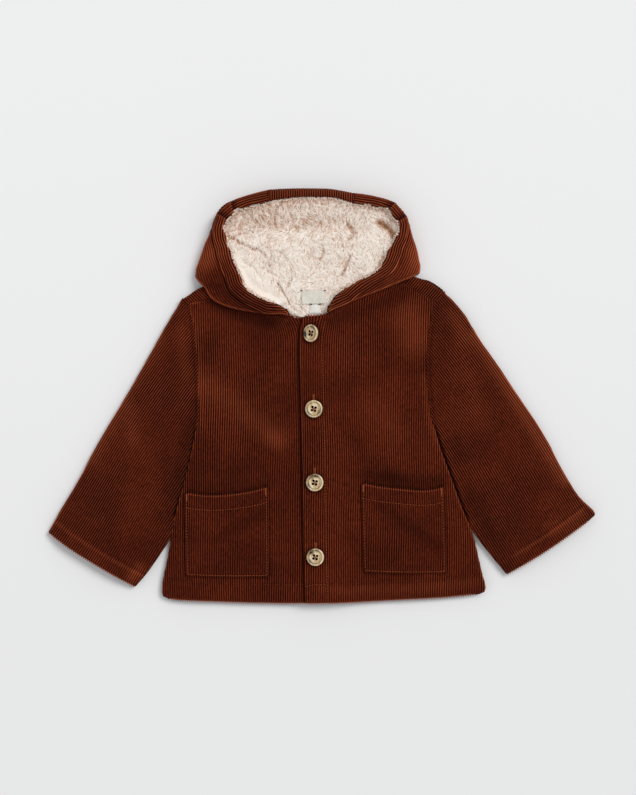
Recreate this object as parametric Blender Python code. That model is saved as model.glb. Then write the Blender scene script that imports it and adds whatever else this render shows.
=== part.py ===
"""A baby's hooded corduroy coat with a pile lining, buttoned up and laid flat on its back.

All tables are in millimetres: +X towards the side of the upper front, +Y towards the hood, +Z up from the
surface that the coat lies on, with the origin under the middle of its box. Every cloth piece is a closed wall
between an outer and an inner grid of points. The grids come from a few sections or borders.
"""

import math

import bmesh
import bpy
import numpy as np

MM = 0.001

# Driving sizes
SEAM_GAP = 0.4  # between pieces that are sewn edge to edge
LAYER_GAP = 0.5  # between pieces that lie on each other
BACK_WALL = 4.5  # corduroy with the pile lining sewn behind it
FRONT_WALL = 4.2
SLEEVE_WALL = 5.5  # wall of the sleeve, whose lining is fuller
HOOD_WALL = 2.8
FLAP_EDGE = 1.4  # least thickness of the rolled front corners of the hood
SIDE_TOP = 7.6  # top of the front at the side seams and the hem
BODY_TOP = 12.0  # top of the front where the body is fullest
SIDE_REACH = 45.0  # how far the body takes to reach that height from its sides
HEM_REACH = 22.0
PLACKET_TOP = 14.4  # the upper front, where it lies on the lower one
PLACKET_REACH = (9.0, 48.0)  # x from which the upper front sinks, and where it reaches the body
UNDER_TOP = 9.6  # the lower front under the placket
UNDER_REACH = (-46.0, -19.0)  # x from which the lower front sinks, and where it is down
SLEEVE_TOP = 14.0
SLEEVE_EDGE_TOP = 6.4
SLEEVE_REACH = 24.0
SHOULDER_TOP = 12.0
LEFT_SHOULDER = (100.0, 110.0)  # distance from the middle where the back starts to wrap forward, and does
RIGHT_SHOULDER = (80.0, 88.0)
POCKET_WALL = 2.6
POCKET_MOUTH_WALL = 3.4  # the turned hem at the pocket's mouth
LINING_UNDERSIDE = 4.9
LINING_EDGE_DROP = 1.5  # the pile is pressed down under the rim
LINING_EDGE_REACH = 12.0
BUTTON_RADIUS = 9.35
BUTTON_HEIGHT = 3.6
BUTTON_HOLE_RADIUS = 0.9
BUTTON_HOLE_OFFSET = 1.7

# Sides of the body. Above the armholes they are only where the body's swell would start.
SIDES = [  # y, left x, right x
    (-218, -167, 172),
    (-205, -167, 171),
    (-190, -166.5, 169.5),
    (-172, -161, 166),
    (-143, -156, 158.5),
    (-116, -150, 147),
    (-89, -142.5, 138),
    (-62, -136, 128),
    (-37, -131, 120),
    (0, -165, 150),
    (110, -180, 165),
]

# Borders, each from its first corner to its last, as x and y
HEM_LEFT = [(-158, -214), (-137, -215.2), (-112, -216.2), (-87, -217.1), (-16, -217.8), (6, -217)]
HEM_RIGHT = [(-15.5, -218), (29, -217), (80, -214), (131, -211), (163, -207.5)]
HEM_BACK = [(-157, -213), (-112, -215), (-16, -216.5), (80, -213), (162, -206.5)]
LEFT_SIDE = [
    (-158, -214),
    (-165.5, -210),
    (-167, -203),
    (-165.5, -190),
    (-161, -172),
    (-156, -143),
    (-150, -116),
    (-142.5, -89),
    (-136, -62),
    (-131, -37),
    (-128, -19),
    (-129, 1),
    (-130, 27),
    (-132, 54),
    (-135, 81),
    (-138, 96),
]
RIGHT_SIDE = [
    (163, -207.5),
    (170.5, -203),
    (172, -196),
    (168.5, -184),
    (164, -162),
    (158, -141),
    (147, -115),
    (139, -92),
    (126, -56),
    (118, -26),
    (115, -4),
    (113, 18),
    (113, 48),
    (117, 77),
    (121, 96),
]
PLACKET_EDGE = [
    (-15.5, -218),
    (-17, -172),
    (-18, -126),
    (-19, -70),
    (-20, -21),
    (-21, 20),
    (-22, 50),
    (-21, 69),
    (-18, 82),
]
UNDER_EDGE = [(6, -217), (5, -126), (4, 0), (5, 84)]
NECK_LEFT = [
    (-138, 96),
    (-126, 97.5),
    (-114, 101),
    (-100, 100),
    (-80, 97),
    (-60, 92.5),
    (-45, 89.5),
    (-31, 85.5),
    (-18, 81.5),
    (5, 84),
]
NECK_RIGHT = [
    (-18, 82),
    (7, 85),
    (14, 90),
    (24, 97),
    (40, 105),
    (60, 112.5),
    (80, 117),
    (99, 108.3),
    (121, 96),
]
# The back wraps forward over the shoulders, up to the fronts. Between them it ends at the hood's seam.
BACK_SEAM = [
    (-138, 96.6), (-114, 101.6), (-100, 101), (-60, 97), (0, 97), (50, 101), (74, 113),
    (83, 117.2), (99, 109.8), (121, 96.6),
]
BACK_TOP = [
    (-146, 100), (-135, 107.5), (-123, 115), (-110, 117), (-80, 111.5), (-54, 106.5), (0, 104),
    (36, 107), (70, 115), (96, 122), (113, 121), (122, 116), (130, 110),
]
BACK_STRIP_LEFT = [(-138, 96.6), (-146, 100)]
BACK_STRIP_RIGHT = [(121, 96.6), (130, 110)]

SLEEVE_LEFT = {
    "cuff": [(-286, -144), (-267, -158), (-237, -177), (-195, -201)],
    "outer": [
        (-286, -144), (-273, -121), (-254, -89), (-234, -51), (-203, 1), (-178, 45), (-160, 77),
        (-146, 100),
    ],
    "inner": [
        (-195, -201), (-182, -186), (-171, -170), (-160, -154), (-150, -114), (-142, -87),
        (-136, -60), (-132, -36),
    ],
    "armhole": [
        (-146, 100), (-139, 96), (-136, 81), (-133, 54), (-131, 27), (-130, 1), (-129.5, -19),
        (-132, -36),
    ],
}
SLEEVE_RIGHT = {
    "cuff": [(281, -132), (243, -159), (196, -188)],
    "outer": [
        (281, -132), (287.6, -125), (273, -108), (254, -78), (235, -42), (199, 12), (166, 64),
        (145, 96), (130, 110),
    ],
    "inner": [
        (196, -188), (181, -170), (170, -156), (161, -144), (148, -114), (140, -90), (127, -54),
        (119.5, -30),
    ],
    "armhole": [(130, 110), (122, 96), (118, 77), (114, 48), (114, 18), (116, -4), (119.5, -30)],
}

POCKET_LEFT = {
    "bottom": [(-141, -189), (-98, -190.5), (-54, -190)],
    "top": [(-142.5, -102), (-127, -104.5), (-107, -105), (-87, -103), (-67, -99.5), (-55, -96)],
    "left": [(-141, -189), (-142, -145), (-142.5, -102)],
    "right": [(-54, -190), (-54.5, -143), (-55, -96)],
}
POCKET_RIGHT = {
    "bottom": [(45, -185), (88, -186.5), (132, -186)],
    "top": [(42.5, -92), (63, -96), (83, -98), (110, -100), (123, -98), (129, -96)],
    "left": [(45, -185), (44, -138), (42.5, -92)],
    "right": [(132, -186), (130.5, -141), (129, -96)],
}

# Sections across the hood's edge: its inner edge, the seam of its turned band, its outer edge, the height of
# its rim, and where the panel ends under the hood. The panel runs over the rim, down and back under.
HOOD_SIDE_LEFT = [  # inner x, y, seam x, y, outer x, y, rim, end x, y
    (-54.4, 203, -54.4, 210, -54.4, 216.5, 21, -54.4, 196),
    (-67, 200, -68.5, 206, -70, 212.5, 21, -54.4, 186),
    (-84, 196, -87, 201, -91, 205.5, 22, -54.4, 176),
    (-95, 190.5, -100, 195, -104, 198.5, 22, -54.4, 168),
    (-99.5, 184, -107, 187, -111.5, 187.5, 22, -54.4, 160),
    (-101, 175, -110.5, 176, -115, 175, 22.5, -54.4, 152),
    (-97, 156, -111.5, 158, -121.5, 158, 23.5, -54.4, 142),
    (-92, 142, -109, 143, -127, 142, 24, -54.4, 130),
    (-87, 129, -104, 129, -131, 129, 24, -54.4, 118),
    (-83.5, 122, -101, 121.5, -129.5, 121.8, 23.5, -54.4, 107.8),
]
HOOD_SIDE_RIGHT = [
    (34.4, 201.5, 34.4, 207, 34.4, 213, 21, 34.4, 190),
    (49, 200, 52, 205, 56, 209.5, 21, 34.4, 182),
    (65, 197, 70, 201.5, 75, 203.5, 22, 34.4, 174),
    (76, 190, 81.5, 193.5, 87, 194, 22, 34.4, 166),
    (81.5, 181, 87.5, 182.5, 93, 182, 22, 34.4, 158),
    (83, 172, 90.5, 172, 95.5, 172, 22.5, 34.4, 150),
    (78, 163, 89.5, 161, 99, 160, 23.5, 34.4, 142),
    (68, 143, 82, 143.5, 103, 143, 24, 34.4, 130),
    (62, 131, 76, 131.5, 104, 130, 24, 34.4, 118),
    (58, 127.3, 73.5, 126.6, 101, 126.6, 23.5, 34.4, 109),
]
HOOD_CENTRE = [
    (-53.9, 203, -53.9, 210, -53.9, 216.6, 21, -53.9, 107.6),
    (-40, 205, -40, 211, -40, 217.5, 20.5, -40, 106.5),
    (-25, 207, -25, 213, -25, 218, 20.5, -25, 105.6),
    (-8, 207, -8, 213, -8, 218, 20.5, -8, 105),
    (10, 207, 10, 213, 10, 217.5, 20.5, 10, 105.8),
    (33.9, 201.5, 33.9, 207, 33.9, 213.2, 21, 33.9, 108.2),
]
# The front corners of the side panels lie over the fronts, down to the neck.
HOOD_FLAP_LEFT = [  # inner x, y, seam x, y, outer x, y, rim
    (-83, 121, -100.5, 120.5, -129, 120.7, 23.5),
    (-81, 115, -97, 113, -122, 114, 23.3),
    (-65, 102, -84, 101, -112, 100, 22.8),
    (-50, 96, -68, 92.5, -87, 90.5, 21.5),
    (-42, 93, -52, 88.5, -60, 86, 20),
    (-32, 84.8, -34, 84, -37, 83, 17.5),
]
HOOD_FLAP_RIGHT = [
    (57, 126.3, 73, 125.8, 100, 125.9, 23.5),
    (45, 121.5, 64, 118, 83, 119, 23),
    (30, 113, 46, 108, 62, 110.3, 22),
    (19, 106, 30, 100.5, 40, 101.6, 21),
    (12, 97, 18, 93, 23, 93.5, 19),
    (7, 87.5, 8.5, 86.5, 11, 86, 17.5),
]

LINING = {
    "bottom": [(-31, 87.2), (-18, 84.8), (-5, 86.4), (8, 88.6)],
    "top": [
        (-101, 187), (-86, 197), (-68, 202.5), (-52, 206), (-25, 210), (10, 210), (30, 205),
        (50, 202), (68, 198), (79, 190),
    ],
    "left": [
        (-31, 87.2), (-46, 91.6), (-66, 98), (-85, 112), (-95, 140), (-102, 157), (-105, 174),
        (-101, 187),
    ],
    "right": [
        (8, 88.6), (14, 98), (22, 105), (42, 116), (66, 134), (72, 143), (82, 164), (87, 173),
        (86, 182), (79, 190),
    ],
}
LINING_HEIGHTS = [  # y, height of the pile: a dip behind the rim, then the fuller roll below it
    (84, 8.8),
    (100, 10.5),
    (120, 12.0),
    (150, 14.5),
    (163, 15.5),
    (176, 11.0),
    (188, 11.5),
    (200, 14.5),
    (212, 15.0),
]

# The largest folds of the body and the sleeves: soft ridges and troughs
FOLDS = [  # x, y of one end, x, y of the other, half-width, height
    (-70, -145, -112, -158, 9, 0.7),
    (-62, -20, -84, -90, 14, -0.7),
    (60, 30, 92, -60, 15, -0.8),
    (96, -110, 118, -150, 12, -0.7),
    (-100, 60, -120, 0, 12, 0.7),
    (86, 70, 104, 20, 12, 0.6),
    (-150, 40, -190, -40, 12, -0.9),
    (-200, -70, -236, -130, 13, 0.8),
    (150, 40, 190, -30, 12, -0.9),
    (190, -60, 232, -120, 13, 0.8),
]

LABEL = {"centre": (-7.5, 102.5), "width": 25.0, "height": 13.5, "turn": 3.0}
SIZE_TAB = {"centre": (-5.5, 90.8), "width": 10.5, "height": 9.0, "turn": 2.0}
LABEL_WALL = 1.0

BUTTONS = [  # x, y, height of its middle over the placket, tilt about Y in degrees
    (-9.0, 65.0, 3.6, -28.0),
    (-7.0, -14.0, 0.6, 0.0),
    (-6.0, -91.0, 0.6, 0.0),
    (-5.4, -169.0, 0.6, 0.0),
]

COLOURS = {  # base colour and roughness
    "corduroy": ((0.075, 0.014, 0.008, 1.0), 0.85),
    "pile": ((0.80, 0.68, 0.58, 1.0), 0.95),
    "horn": ((0.52, 0.38, 0.22, 1.0), 0.35),
    "label": ((0.78, 0.75, 0.66, 1.0), 0.7),
    "tab": ((0.80, 0.80, 0.78, 1.0), 0.6),
}


def clear_scene():
    for found in list(bpy.data.objects):
        bpy.data.objects.remove(found, do_unlink=True)


def material(name):
    colour, roughness = COLOURS[name]
    made = bpy.data.materials.get(name) or bpy.data.materials.new(name)
    made.use_nodes = True
    shader = made.node_tree.nodes["Principled BSDF"]
    shader.inputs["Base Color"].default_value = colour
    shader.inputs["Roughness"].default_value = roughness
    shader.inputs["Metallic"].default_value = 0.0
    return made


# ---- Curves and grids ------------------------------------------------------------------------------------


def through(rows, shares):
    """Points on a smooth curve through the rows, at these shares of its length. Every column is carried."""
    rows = np.array(rows, float)
    shares = np.asarray(shares)
    steps = np.linalg.norm(np.diff(rows[:, :2], axis=0), axis=1)
    at = np.concatenate([[0.0], np.cumsum(steps)])
    slopes = np.gradient(rows, at, axis=0)
    where = shares * at[-1]
    span = np.clip(np.searchsorted(at, where, side="right") - 1, 0, len(at) - 2)
    length = (at[span + 1] - at[span])[:, None]
    t = (where[:, None] - at[span][:, None]) / length
    return (
        (2 * t**3 - 3 * t**2 + 1) * rows[span]
        + (t**3 - 2 * t**2 + t) * length * slopes[span]
        + (3 * t**2 - 2 * t**3) * rows[span + 1]
        + (t**3 - t**2) * length * slopes[span + 1]
    )


def shares(count, crowd=0.5):
    """Numbers from 0 to 1, closer together near both ends."""
    even = np.linspace(0, 1, count)
    return (1 - crowd) * even + crowd * (0.5 - 0.5 * np.cos(math.pi * even))


def patch(bottom, top, left, right, across, along):
    """A grid of x and y between four borders, row by row from the bottom, each row from the left."""
    low, high = through(bottom, across), through(top, across)
    first, last = through(left, along), through(right, along)
    u = across[None, :, None]
    v = along[:, None, None]
    between = (1 - v) * low + v * high + (1 - u) * first[:, None] + u * last[:, None]
    corners = (1 - u) * (1 - v) * low[0] + u * (1 - v) * low[-1] + (1 - u) * v * high[0] + u * v * high[-1]
    return between - corners


def lifted(plan, heights):
    """The plan grid with these heights as its z."""
    return np.concatenate([plan, np.broadcast_to(heights, plan.shape[:2])[..., None]], axis=2)


def eased(value, start, end):
    t = np.clip((value - start) / (end - start), 0, 1)
    return t * t * (3 - 2 * t)


def swell(distance, reach):
    """0 at an edge, rising to 1 at its reach."""
    t = np.clip(distance / reach, 0, 1)
    return t * (2 - t)


# ---- Heights of the lying coat ---------------------------------------------------------------------------


def folds(x, y):
    height = np.zeros_like(x)
    for x0, y0, x1, y1, half_width, rise in FOLDS:
        along = np.array([x1 - x0, y1 - y0])
        length = np.linalg.norm(along)
        along = along / length
        run = np.clip((x - x0) * along[0] + (y - y0) * along[1], 0, length)
        off = np.hypot(x - x0 - run * along[0], y - y0 - run * along[1])
        height += rise * np.exp(-((off / half_width) ** 2))
    return height


def body_height(x, y):
    """Top of the coat's body where one front lies on the back."""
    sides = np.array(SIDES, float)
    left = np.interp(y, sides[:, 0], sides[:, 1])
    right = np.interp(y, sides[:, 0], sides[:, 2])
    hem = np.interp(x, [-158, -16, 163], [-214, -218, -207.5])
    full = swell(np.minimum(x - left, right - x), SIDE_REACH) * swell(y - hem, HEM_REACH)
    return SIDE_TOP + (BODY_TOP - SIDE_TOP) * full + folds(x, y) * full


def left_height(x, y):
    """Top of the lower front, which is pressed down under the placket."""
    sunk = eased(x, *UNDER_REACH)
    return (1 - sunk) * body_height(x, y) + sunk * UNDER_TOP


def right_height(x, y):
    """Top of the upper front, which is lifted by the lower one."""
    lift = 1 - eased(x, *PLACKET_REACH)
    return (1 - lift) * body_height(x, y) + lift * PLACKET_TOP


def coat_height(x, y):
    """Top of whichever front shows."""
    edge = np.interp(y, [-218, -126, 50, 82], [-15.5, -18, -22, -18])
    return np.where(x < edge, left_height(x, y), right_height(x, y))


def lining_height(x, y):
    rows = np.array(LINING_HEIGHTS)
    return np.interp(y, rows[:, 0], rows[:, 1])


# ---- Closed solids ---------------------------------------------------------------------------------------


def add_solid(name, points, faces, slot):
    mesh = bpy.data.meshes.new(name)
    mesh.from_pydata([tuple(float(c) * MM for c in p) for p in points], [], faces)
    shaped = bmesh.new()
    shaped.from_mesh(mesh)
    bmesh.ops.recalc_face_normals(shaped, faces=shaped.faces)
    shaped.to_mesh(mesh)
    shaped.free()
    mesh.shade_smooth()
    mesh.set_sharp_from_angle(angle=math.radians(50))
    mesh.materials.append(material(slot))
    made = bpy.data.objects.new(name, mesh)
    bpy.context.scene.collection.objects.link(made)


def wall(name, over, under, slot):
    """The closed solid between two grids of the same shape."""
    rows, columns = over.shape[:2]
    points = np.concatenate([over.reshape(-1, 3), under.reshape(-1, 3)])
    count = rows * columns
    faces = []
    for r in range(rows - 1):
        for c in range(columns - 1):
            quad = [r * columns + c, r * columns + c + 1, (r + 1) * columns + c + 1, (r + 1) * columns + c]
            faces.append(quad)
            faces.append([count + i for i in reversed(quad)])
    rim = list(range(columns))
    rim += [r * columns + columns - 1 for r in range(1, rows)]
    rim += [(rows - 1) * columns + c for c in range(columns - 2, -1, -1)]
    rim += [r * columns for r in range(rows - 2, 0, -1)]
    for here, after in zip(rim, rim[1:] + rim[:1]):
        faces.append([here, count + here, count + after, after])
    add_solid(name, points, faces, slot)


def tube(name, outer, inner, slot):
    """The closed wall between two grids whose rows are rings, open at both ends."""
    rows, ring = outer.shape[:2]
    points = np.concatenate([outer.reshape(-1, 3), inner.reshape(-1, 3)])
    count = rows * ring
    faces = []
    for c in range(ring):
        after = (c + 1) % ring
        for r in range(rows - 1):
            quad = [r * ring + c, r * ring + after, (r + 1) * ring + after, (r + 1) * ring + c]
            faces.append(quad)
            faces.append([count + i for i in reversed(quad)])
        faces.append([c, count + c, count + after, after])
        last = (rows - 1) * ring
        faces.append([last + c, last + after, count + last + after, count + last + c])
    add_solid(name, points, faces, slot)


# ---- The pieces ------------------------------------------------------------------------------------------


def make_back():
    """The back, flat on the surface, whose top edge wraps forward over both shoulders."""
    across = shares(19)
    left = [(x + 1.2, y + 0.6) for x, y in LEFT_SIDE[:-1]] + [BACK_SEAM[0]]
    right = [(x - 1.2, y + 0.6) for x, y in RIGHT_SIDE[:-1]] + [BACK_SEAM[-1]]
    main = patch(HEM_BACK, BACK_SEAM, left, right, across, shares(18, 0.3))
    up_the_strip = np.array([0.06, 0.4, 0.75, 1.0])
    strip = patch(BACK_SEAM, BACK_TOP, BACK_STRIP_LEFT, BACK_STRIP_RIGHT, across, up_the_strip)
    main[-1] -= (0, SEAM_GAP)
    plan = np.concatenate([main, strip])
    heights = np.full(plan.shape[:2], BACK_WALL)
    x = strip[..., 0]
    shoulder = np.maximum(eased(-x, *LEFT_SHOULDER), eased(x, *RIGHT_SHOULDER))
    rounded = np.array([1.0, 0.98, 0.8, 0.4])[:, None]
    heights[len(main):] += shoulder * (SHOULDER_TOP - BACK_WALL) * rounded
    wall("back_panel", lifted(plan, heights), lifted(plan, 0.0), "corduroy")


def make_left_front():
    """The lower front, which runs on under the placket."""
    side = [(x + SEAM_GAP, y) for x, y in LEFT_SIDE]
    plan = patch(HEM_LEFT, NECK_LEFT, side, UNDER_EDGE, shares(14), shares(20, 0.3))
    top = left_height(plan[..., 0], plan[..., 1])
    under = np.maximum(top - FRONT_WALL, BACK_WALL + LAYER_GAP)
    wall("front_left", lifted(plan, top), lifted(plan, under), "corduroy")


def make_right_front():
    """The upper front. Its placket lies on the lower front."""
    side = [(x - SEAM_GAP, y) for x, y in RIGHT_SIDE]
    plan = patch(HEM_RIGHT, NECK_RIGHT, PLACKET_EDGE, side, shares(15), shares(20, 0.3))
    x, y = plan[..., 0], plan[..., 1]
    top = right_height(x, y)
    clear = np.where(x < 12, UNDER_TOP, BACK_WALL) + LAYER_GAP
    under = np.maximum(top - FRONT_WALL, clear)
    wall("front_right", lifted(plan, top), lifted(plan, under), "corduroy")


def make_sleeve(name, borders):
    """A flattened tube, open at the cuff and at the armhole, lying on the surface."""
    across, along = shares(9), shares(15, 0.3)
    plan = patch(borders["cuff"], borders["armhole"], borders["outer"], borders["inner"], across, along)
    width = np.linalg.norm(plan[:, -1] - plan[:, 0], axis=1)[:, None]
    full = swell(across * width, SLEEVE_REACH) * swell((1 - across) * width, SLEEVE_REACH)
    crease = folds(plan[..., 0], plan[..., 1]) * full
    top = SLEEVE_EDGE_TOP + (SLEEVE_TOP - SLEEVE_EDGE_TOP) * full + crease
    turn_in = np.minimum(2.5 / width, 0.2)
    outer = ring_around(plan, top, np.zeros_like(top), turn_in)
    middle = plan.mean(axis=1, keepdims=True)
    narrow = 1 - 2 * (SLEEVE_WALL + 2.0) / width[..., None]
    shrunk = middle + (plan - middle) * narrow
    roof = np.maximum(top - SLEEVE_WALL, SLEEVE_WALL + 0.6)
    roof[:, [0, -1]] = SLEEVE_WALL + 0.4
    inner = ring_around(shrunk, roof, np.full_like(top, SLEEVE_WALL), np.zeros_like(turn_in))
    tube(name, outer, inner, "corduroy")


def ring_around(plan, top, bottom, turn_in):
    """Rings that go across the top of a plan grid and back under it, with the lower corners turned in."""
    upper = lifted(plan, top)
    first, last = plan[:, :1], plan[:, -1:]
    inward = (last - first) * turn_in[..., None]
    under = plan[:, ::-1].copy()
    under[:, :1] -= inward
    under[:, -1:] += inward
    return np.concatenate([upper, lifted(under, bottom[:, ::-1])], axis=1)


def make_pocket(name, borders):
    """A patch pocket with a turned hem at its mouth. It follows the front that it is sewn on."""
    across, along = shares(9), np.array([0, 0.06, 0.24, 0.42, 0.6, 0.76, 0.84, 0.92, 1.0])
    plan = patch(borders["bottom"], borders["top"], borders["left"], borders["right"], across, along)
    under = coat_height(plan[..., 0], plan[..., 1]) + LAYER_GAP
    thick = np.full(plan.shape[:2], POCKET_WALL)
    thick[-3:] = POCKET_MOUTH_WALL
    thick[[0, -1]] -= 0.8
    thick[:, [0, -1]] -= 0.8
    wall(name, lifted(plan, under + thick), lifted(plan, under), "corduroy")


def hood_sections(table, count):
    rows = through(table, np.linspace(0, 1, count))
    return rows[:, 0:2], rows[:, 2:4], rows[:, 4:6], rows[:, 6]


def make_hood_panel(name, table, count):
    """A wall that runs from the rim's inner edge over the band, down the outside and back under the hood."""
    inner, seam, outer, rim = hood_sections(table, count)
    end = through(table, np.linspace(0, 1, count))[:, 7:9]
    inward = (inner - outer) / np.linalg.norm(inner - outer, axis=1)[:, None]
    tucked = outer + inward * 5.0
    stations = [  # place in plan, height as a share of the rim's
        (inner, 0.86),
        (inner + 0.3 * (seam - inner), 0.98),
        (inner + 0.7 * (seam - inner), 1.0),
        (seam, 0.95),
        (seam + 0.55 * (outer - seam), 0.85),
        (seam + 0.88 * (outer - seam), 0.64),
        (outer, 0.36),
        (outer + inward * 1.5, 0.12),
        (tucked, 0.0),
        (tucked + 0.5 * (end - tucked), 0.0),
        (end, 0.0),
    ]
    skin = np.stack([np.column_stack([place, rim * share]) for place, share in stations], axis=1)
    core = np.column_stack([0.5 * (inner + outer), rim * 0.45])[:, None]
    away = core - skin
    towards_core = away / np.linalg.norm(away, axis=2)[..., None] * HOOD_WALL
    straight_up = np.array([0.0, 0.0, HOOD_WALL])
    lining_side = skin + towards_core
    lining_side[:, -3:] = skin[:, -3:] + straight_up
    lining_side[:, -3, :2] += inward * 2.0
    wall(name, skin, lining_side, "corduroy")


def make_hood_flap(name, table):
    """The front corner of a side panel. It is rolled over on itself and lies on the fronts."""
    inner, seam, outer, rim = hood_sections(table, 12)
    stations = [  # place in plan, share of the way from the least thickness to the rim
        (inner, 0.75),
        (inner + 0.3 * (seam - inner), 0.95),
        (inner + 0.7 * (seam - inner), 1.0),
        (seam, 0.93),
        (seam + 0.55 * (outer - seam), 0.8),
        (seam + 0.88 * (outer - seam), 0.5),
        (outer, 0.2),
    ]
    plan = np.stack([place for place, _ in stations], axis=1)
    full = np.array([share for _, share in stations])
    rest = np.maximum(coat_height(plan[..., 0], plan[..., 1]), SHOULDER_TOP + LAYER_GAP) + LAYER_GAP
    least = rest + FLAP_EDGE
    top = least + (rim[:, None] - least) * full
    wall(name, lifted(plan, top), lifted(plan, rest), "corduroy")


def make_lining():
    """The reach of the pile inside the hood, down to the neck."""
    across = shares(13)
    plan = patch(LINING["bottom"], LINING["top"], LINING["left"], LINING["right"], across, shares(16, 0.2))
    width = np.linalg.norm(plan[:, -1] - plan[:, 0], axis=1)[:, None]
    pressed = 1 - swell(np.minimum(across, 1 - across) * width, LINING_EDGE_REACH)
    top = lining_height(plan[..., 0], plan[..., 1]) - LINING_EDGE_DROP * pressed
    wall("hood_lining", lifted(plan, top), lifted(plan, LINING_UNDERSIDE), "pile")


def make_label(name, placed, slot):
    """A small woven rectangle that lies on the lining."""
    turn = math.radians(placed["turn"])
    across = np.linspace(-0.5, 0.5, 5) * placed["width"]
    along = np.linspace(-0.5, 0.5, 4) * placed["height"]
    x, y = np.meshgrid(across, along)
    turned_x = x * math.cos(turn) - y * math.sin(turn)
    turned_y = x * math.sin(turn) + y * math.cos(turn)
    plan = np.stack([turned_x, turned_y], axis=2) + placed["centre"]
    under = lining_height(plan[..., 0], plan[..., 1]) + LAYER_GAP
    wall(name, lifted(plan, under + LABEL_WALL), lifted(plan, under), slot)


def make_button(name, x, y, lift, tilt):
    """A turned button: flat foot, raised rim, ring groove and dished middle, with four thread holes."""
    profile = [  # radius, height
        (0.0, 0.0),
        (6.8, 0.0),
        (9.0, 1.2),
        (BUTTON_RADIUS, 2.2),
        (8.6, BUTTON_HEIGHT),
        (7.0, 3.3),
        (6.2, 2.5),
        (3.6, 2.2),
        (0.0, 2.1),
    ]
    sides = 20
    shaped = bmesh.new()
    outline = [shaped.verts.new((r * MM, 0, z * MM)) for r, z in profile]
    edges = [shaped.edges.new(pair) for pair in zip(outline, outline[1:])]
    bmesh.ops.spin(shaped, geom=outline + edges, axis=(0, 0, 1), cent=(0, 0, 0), steps=sides, angle=math.tau)
    bmesh.ops.remove_doubles(shaped, verts=shaped.verts, dist=0.00001)
    bmesh.ops.recalc_face_normals(shaped, faces=shaped.faces)
    mesh = bpy.data.meshes.new(name)
    shaped.to_mesh(mesh)
    shaped.free()
    mesh.shade_smooth()
    mesh.set_sharp_from_angle(angle=math.radians(40))
    mesh.materials.append(material("horn"))
    button = bpy.data.objects.new(name, mesh)
    bpy.context.scene.collection.objects.link(button)
    cut_holes(button)
    button.location = (x * MM, y * MM, (PLACKET_TOP + lift) * MM)
    button.rotation_euler = (0, math.radians(tilt), 0)


def cut_holes(button):
    shaped = bmesh.new()
    for turn in range(4):
        angle = math.radians(45 + 90 * turn)
        drilled = bmesh.ops.create_cone(
            shaped,
            cap_ends=True,
            segments=8,
            radius1=BUTTON_HOLE_RADIUS * MM,
            radius2=BUTTON_HOLE_RADIUS * MM,
            depth=10 * MM,
        )
        place = (BUTTON_HOLE_OFFSET * math.cos(angle) * MM, BUTTON_HOLE_OFFSET * math.sin(angle) * MM, 0)
        bmesh.ops.translate(shaped, verts=drilled["verts"], vec=place)
    mesh = bpy.data.meshes.new(button.name + "_holes")
    shaped.to_mesh(mesh)
    shaped.free()
    cutter = bpy.data.objects.new(button.name + "_holes", mesh)
    bpy.context.scene.collection.objects.link(cutter)
    cutter.parent = button
    cutter.hide_render = True
    cutter.display_type = "WIRE"
    holes = button.modifiers.new("holes", "BOOLEAN")
    holes.operation = "DIFFERENCE"
    holes.object = cutter


def main():
    clear_scene()
    make_back()
    make_left_front()
    make_right_front()
    make_sleeve("sleeve_left", SLEEVE_LEFT)
    make_sleeve("sleeve_right", SLEEVE_RIGHT)
    make_pocket("pocket_left", POCKET_LEFT)
    make_pocket("pocket_right", POCKET_RIGHT)
    make_hood_panel("hood_side_left", HOOD_SIDE_LEFT, 13)
    make_hood_panel("hood_side_right", HOOD_SIDE_RIGHT, 13)
    make_hood_panel("hood_centre", HOOD_CENTRE, 8)
    make_hood_flap("hood_flap_left", HOOD_FLAP_LEFT)
    make_hood_flap("hood_flap_right", HOOD_FLAP_RIGHT)
    make_lining()
    make_label("neck_label", LABEL, "label")
    make_label("size_tab", SIZE_TAB, "tab")
    for number, row in enumerate(BUTTONS, 1):
        make_button(f"button_{number}", *row)


main()
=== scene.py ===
"""Looks of a baby's hooded corduroy coat with a pile lining, laid flat: thin cloth shells with real ribs.

Lengths in the tables are millimetres in the frame's own axes: +X right, +Y towards the hood, +Z up from the
surface that the coat lies on. Every shell takes its outline and its height from the CAD solid that it
replaces.
"""

import math

import bpy
import numpy as np
from mathutils import Matrix, Vector
from mathutils.bvhtree import BVHTree


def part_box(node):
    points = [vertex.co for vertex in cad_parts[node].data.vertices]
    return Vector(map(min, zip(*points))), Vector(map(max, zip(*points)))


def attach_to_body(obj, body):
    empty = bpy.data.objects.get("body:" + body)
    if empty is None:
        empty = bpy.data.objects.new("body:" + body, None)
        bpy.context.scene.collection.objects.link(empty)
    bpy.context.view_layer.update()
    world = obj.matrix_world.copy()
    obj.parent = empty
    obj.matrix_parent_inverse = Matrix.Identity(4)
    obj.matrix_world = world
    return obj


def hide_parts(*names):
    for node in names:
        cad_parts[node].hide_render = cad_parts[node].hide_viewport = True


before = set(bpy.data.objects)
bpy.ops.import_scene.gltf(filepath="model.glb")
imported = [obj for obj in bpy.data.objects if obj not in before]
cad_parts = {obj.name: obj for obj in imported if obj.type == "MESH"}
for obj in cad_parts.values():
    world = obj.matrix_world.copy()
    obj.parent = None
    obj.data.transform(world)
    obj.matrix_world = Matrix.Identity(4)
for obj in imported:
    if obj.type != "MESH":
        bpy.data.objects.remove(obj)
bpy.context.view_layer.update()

MM = 0.001
RIB = 2.4  # spacing of the corduroy's ribs
RIB_DEPTH = 0.6
RIB_PHASES = (0.0, 0.22, 0.5, 0.78)  # a valley, a flank, the crown and a flank
ROW = 3.2  # spacing of a shell's rows along its ribs
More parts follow.
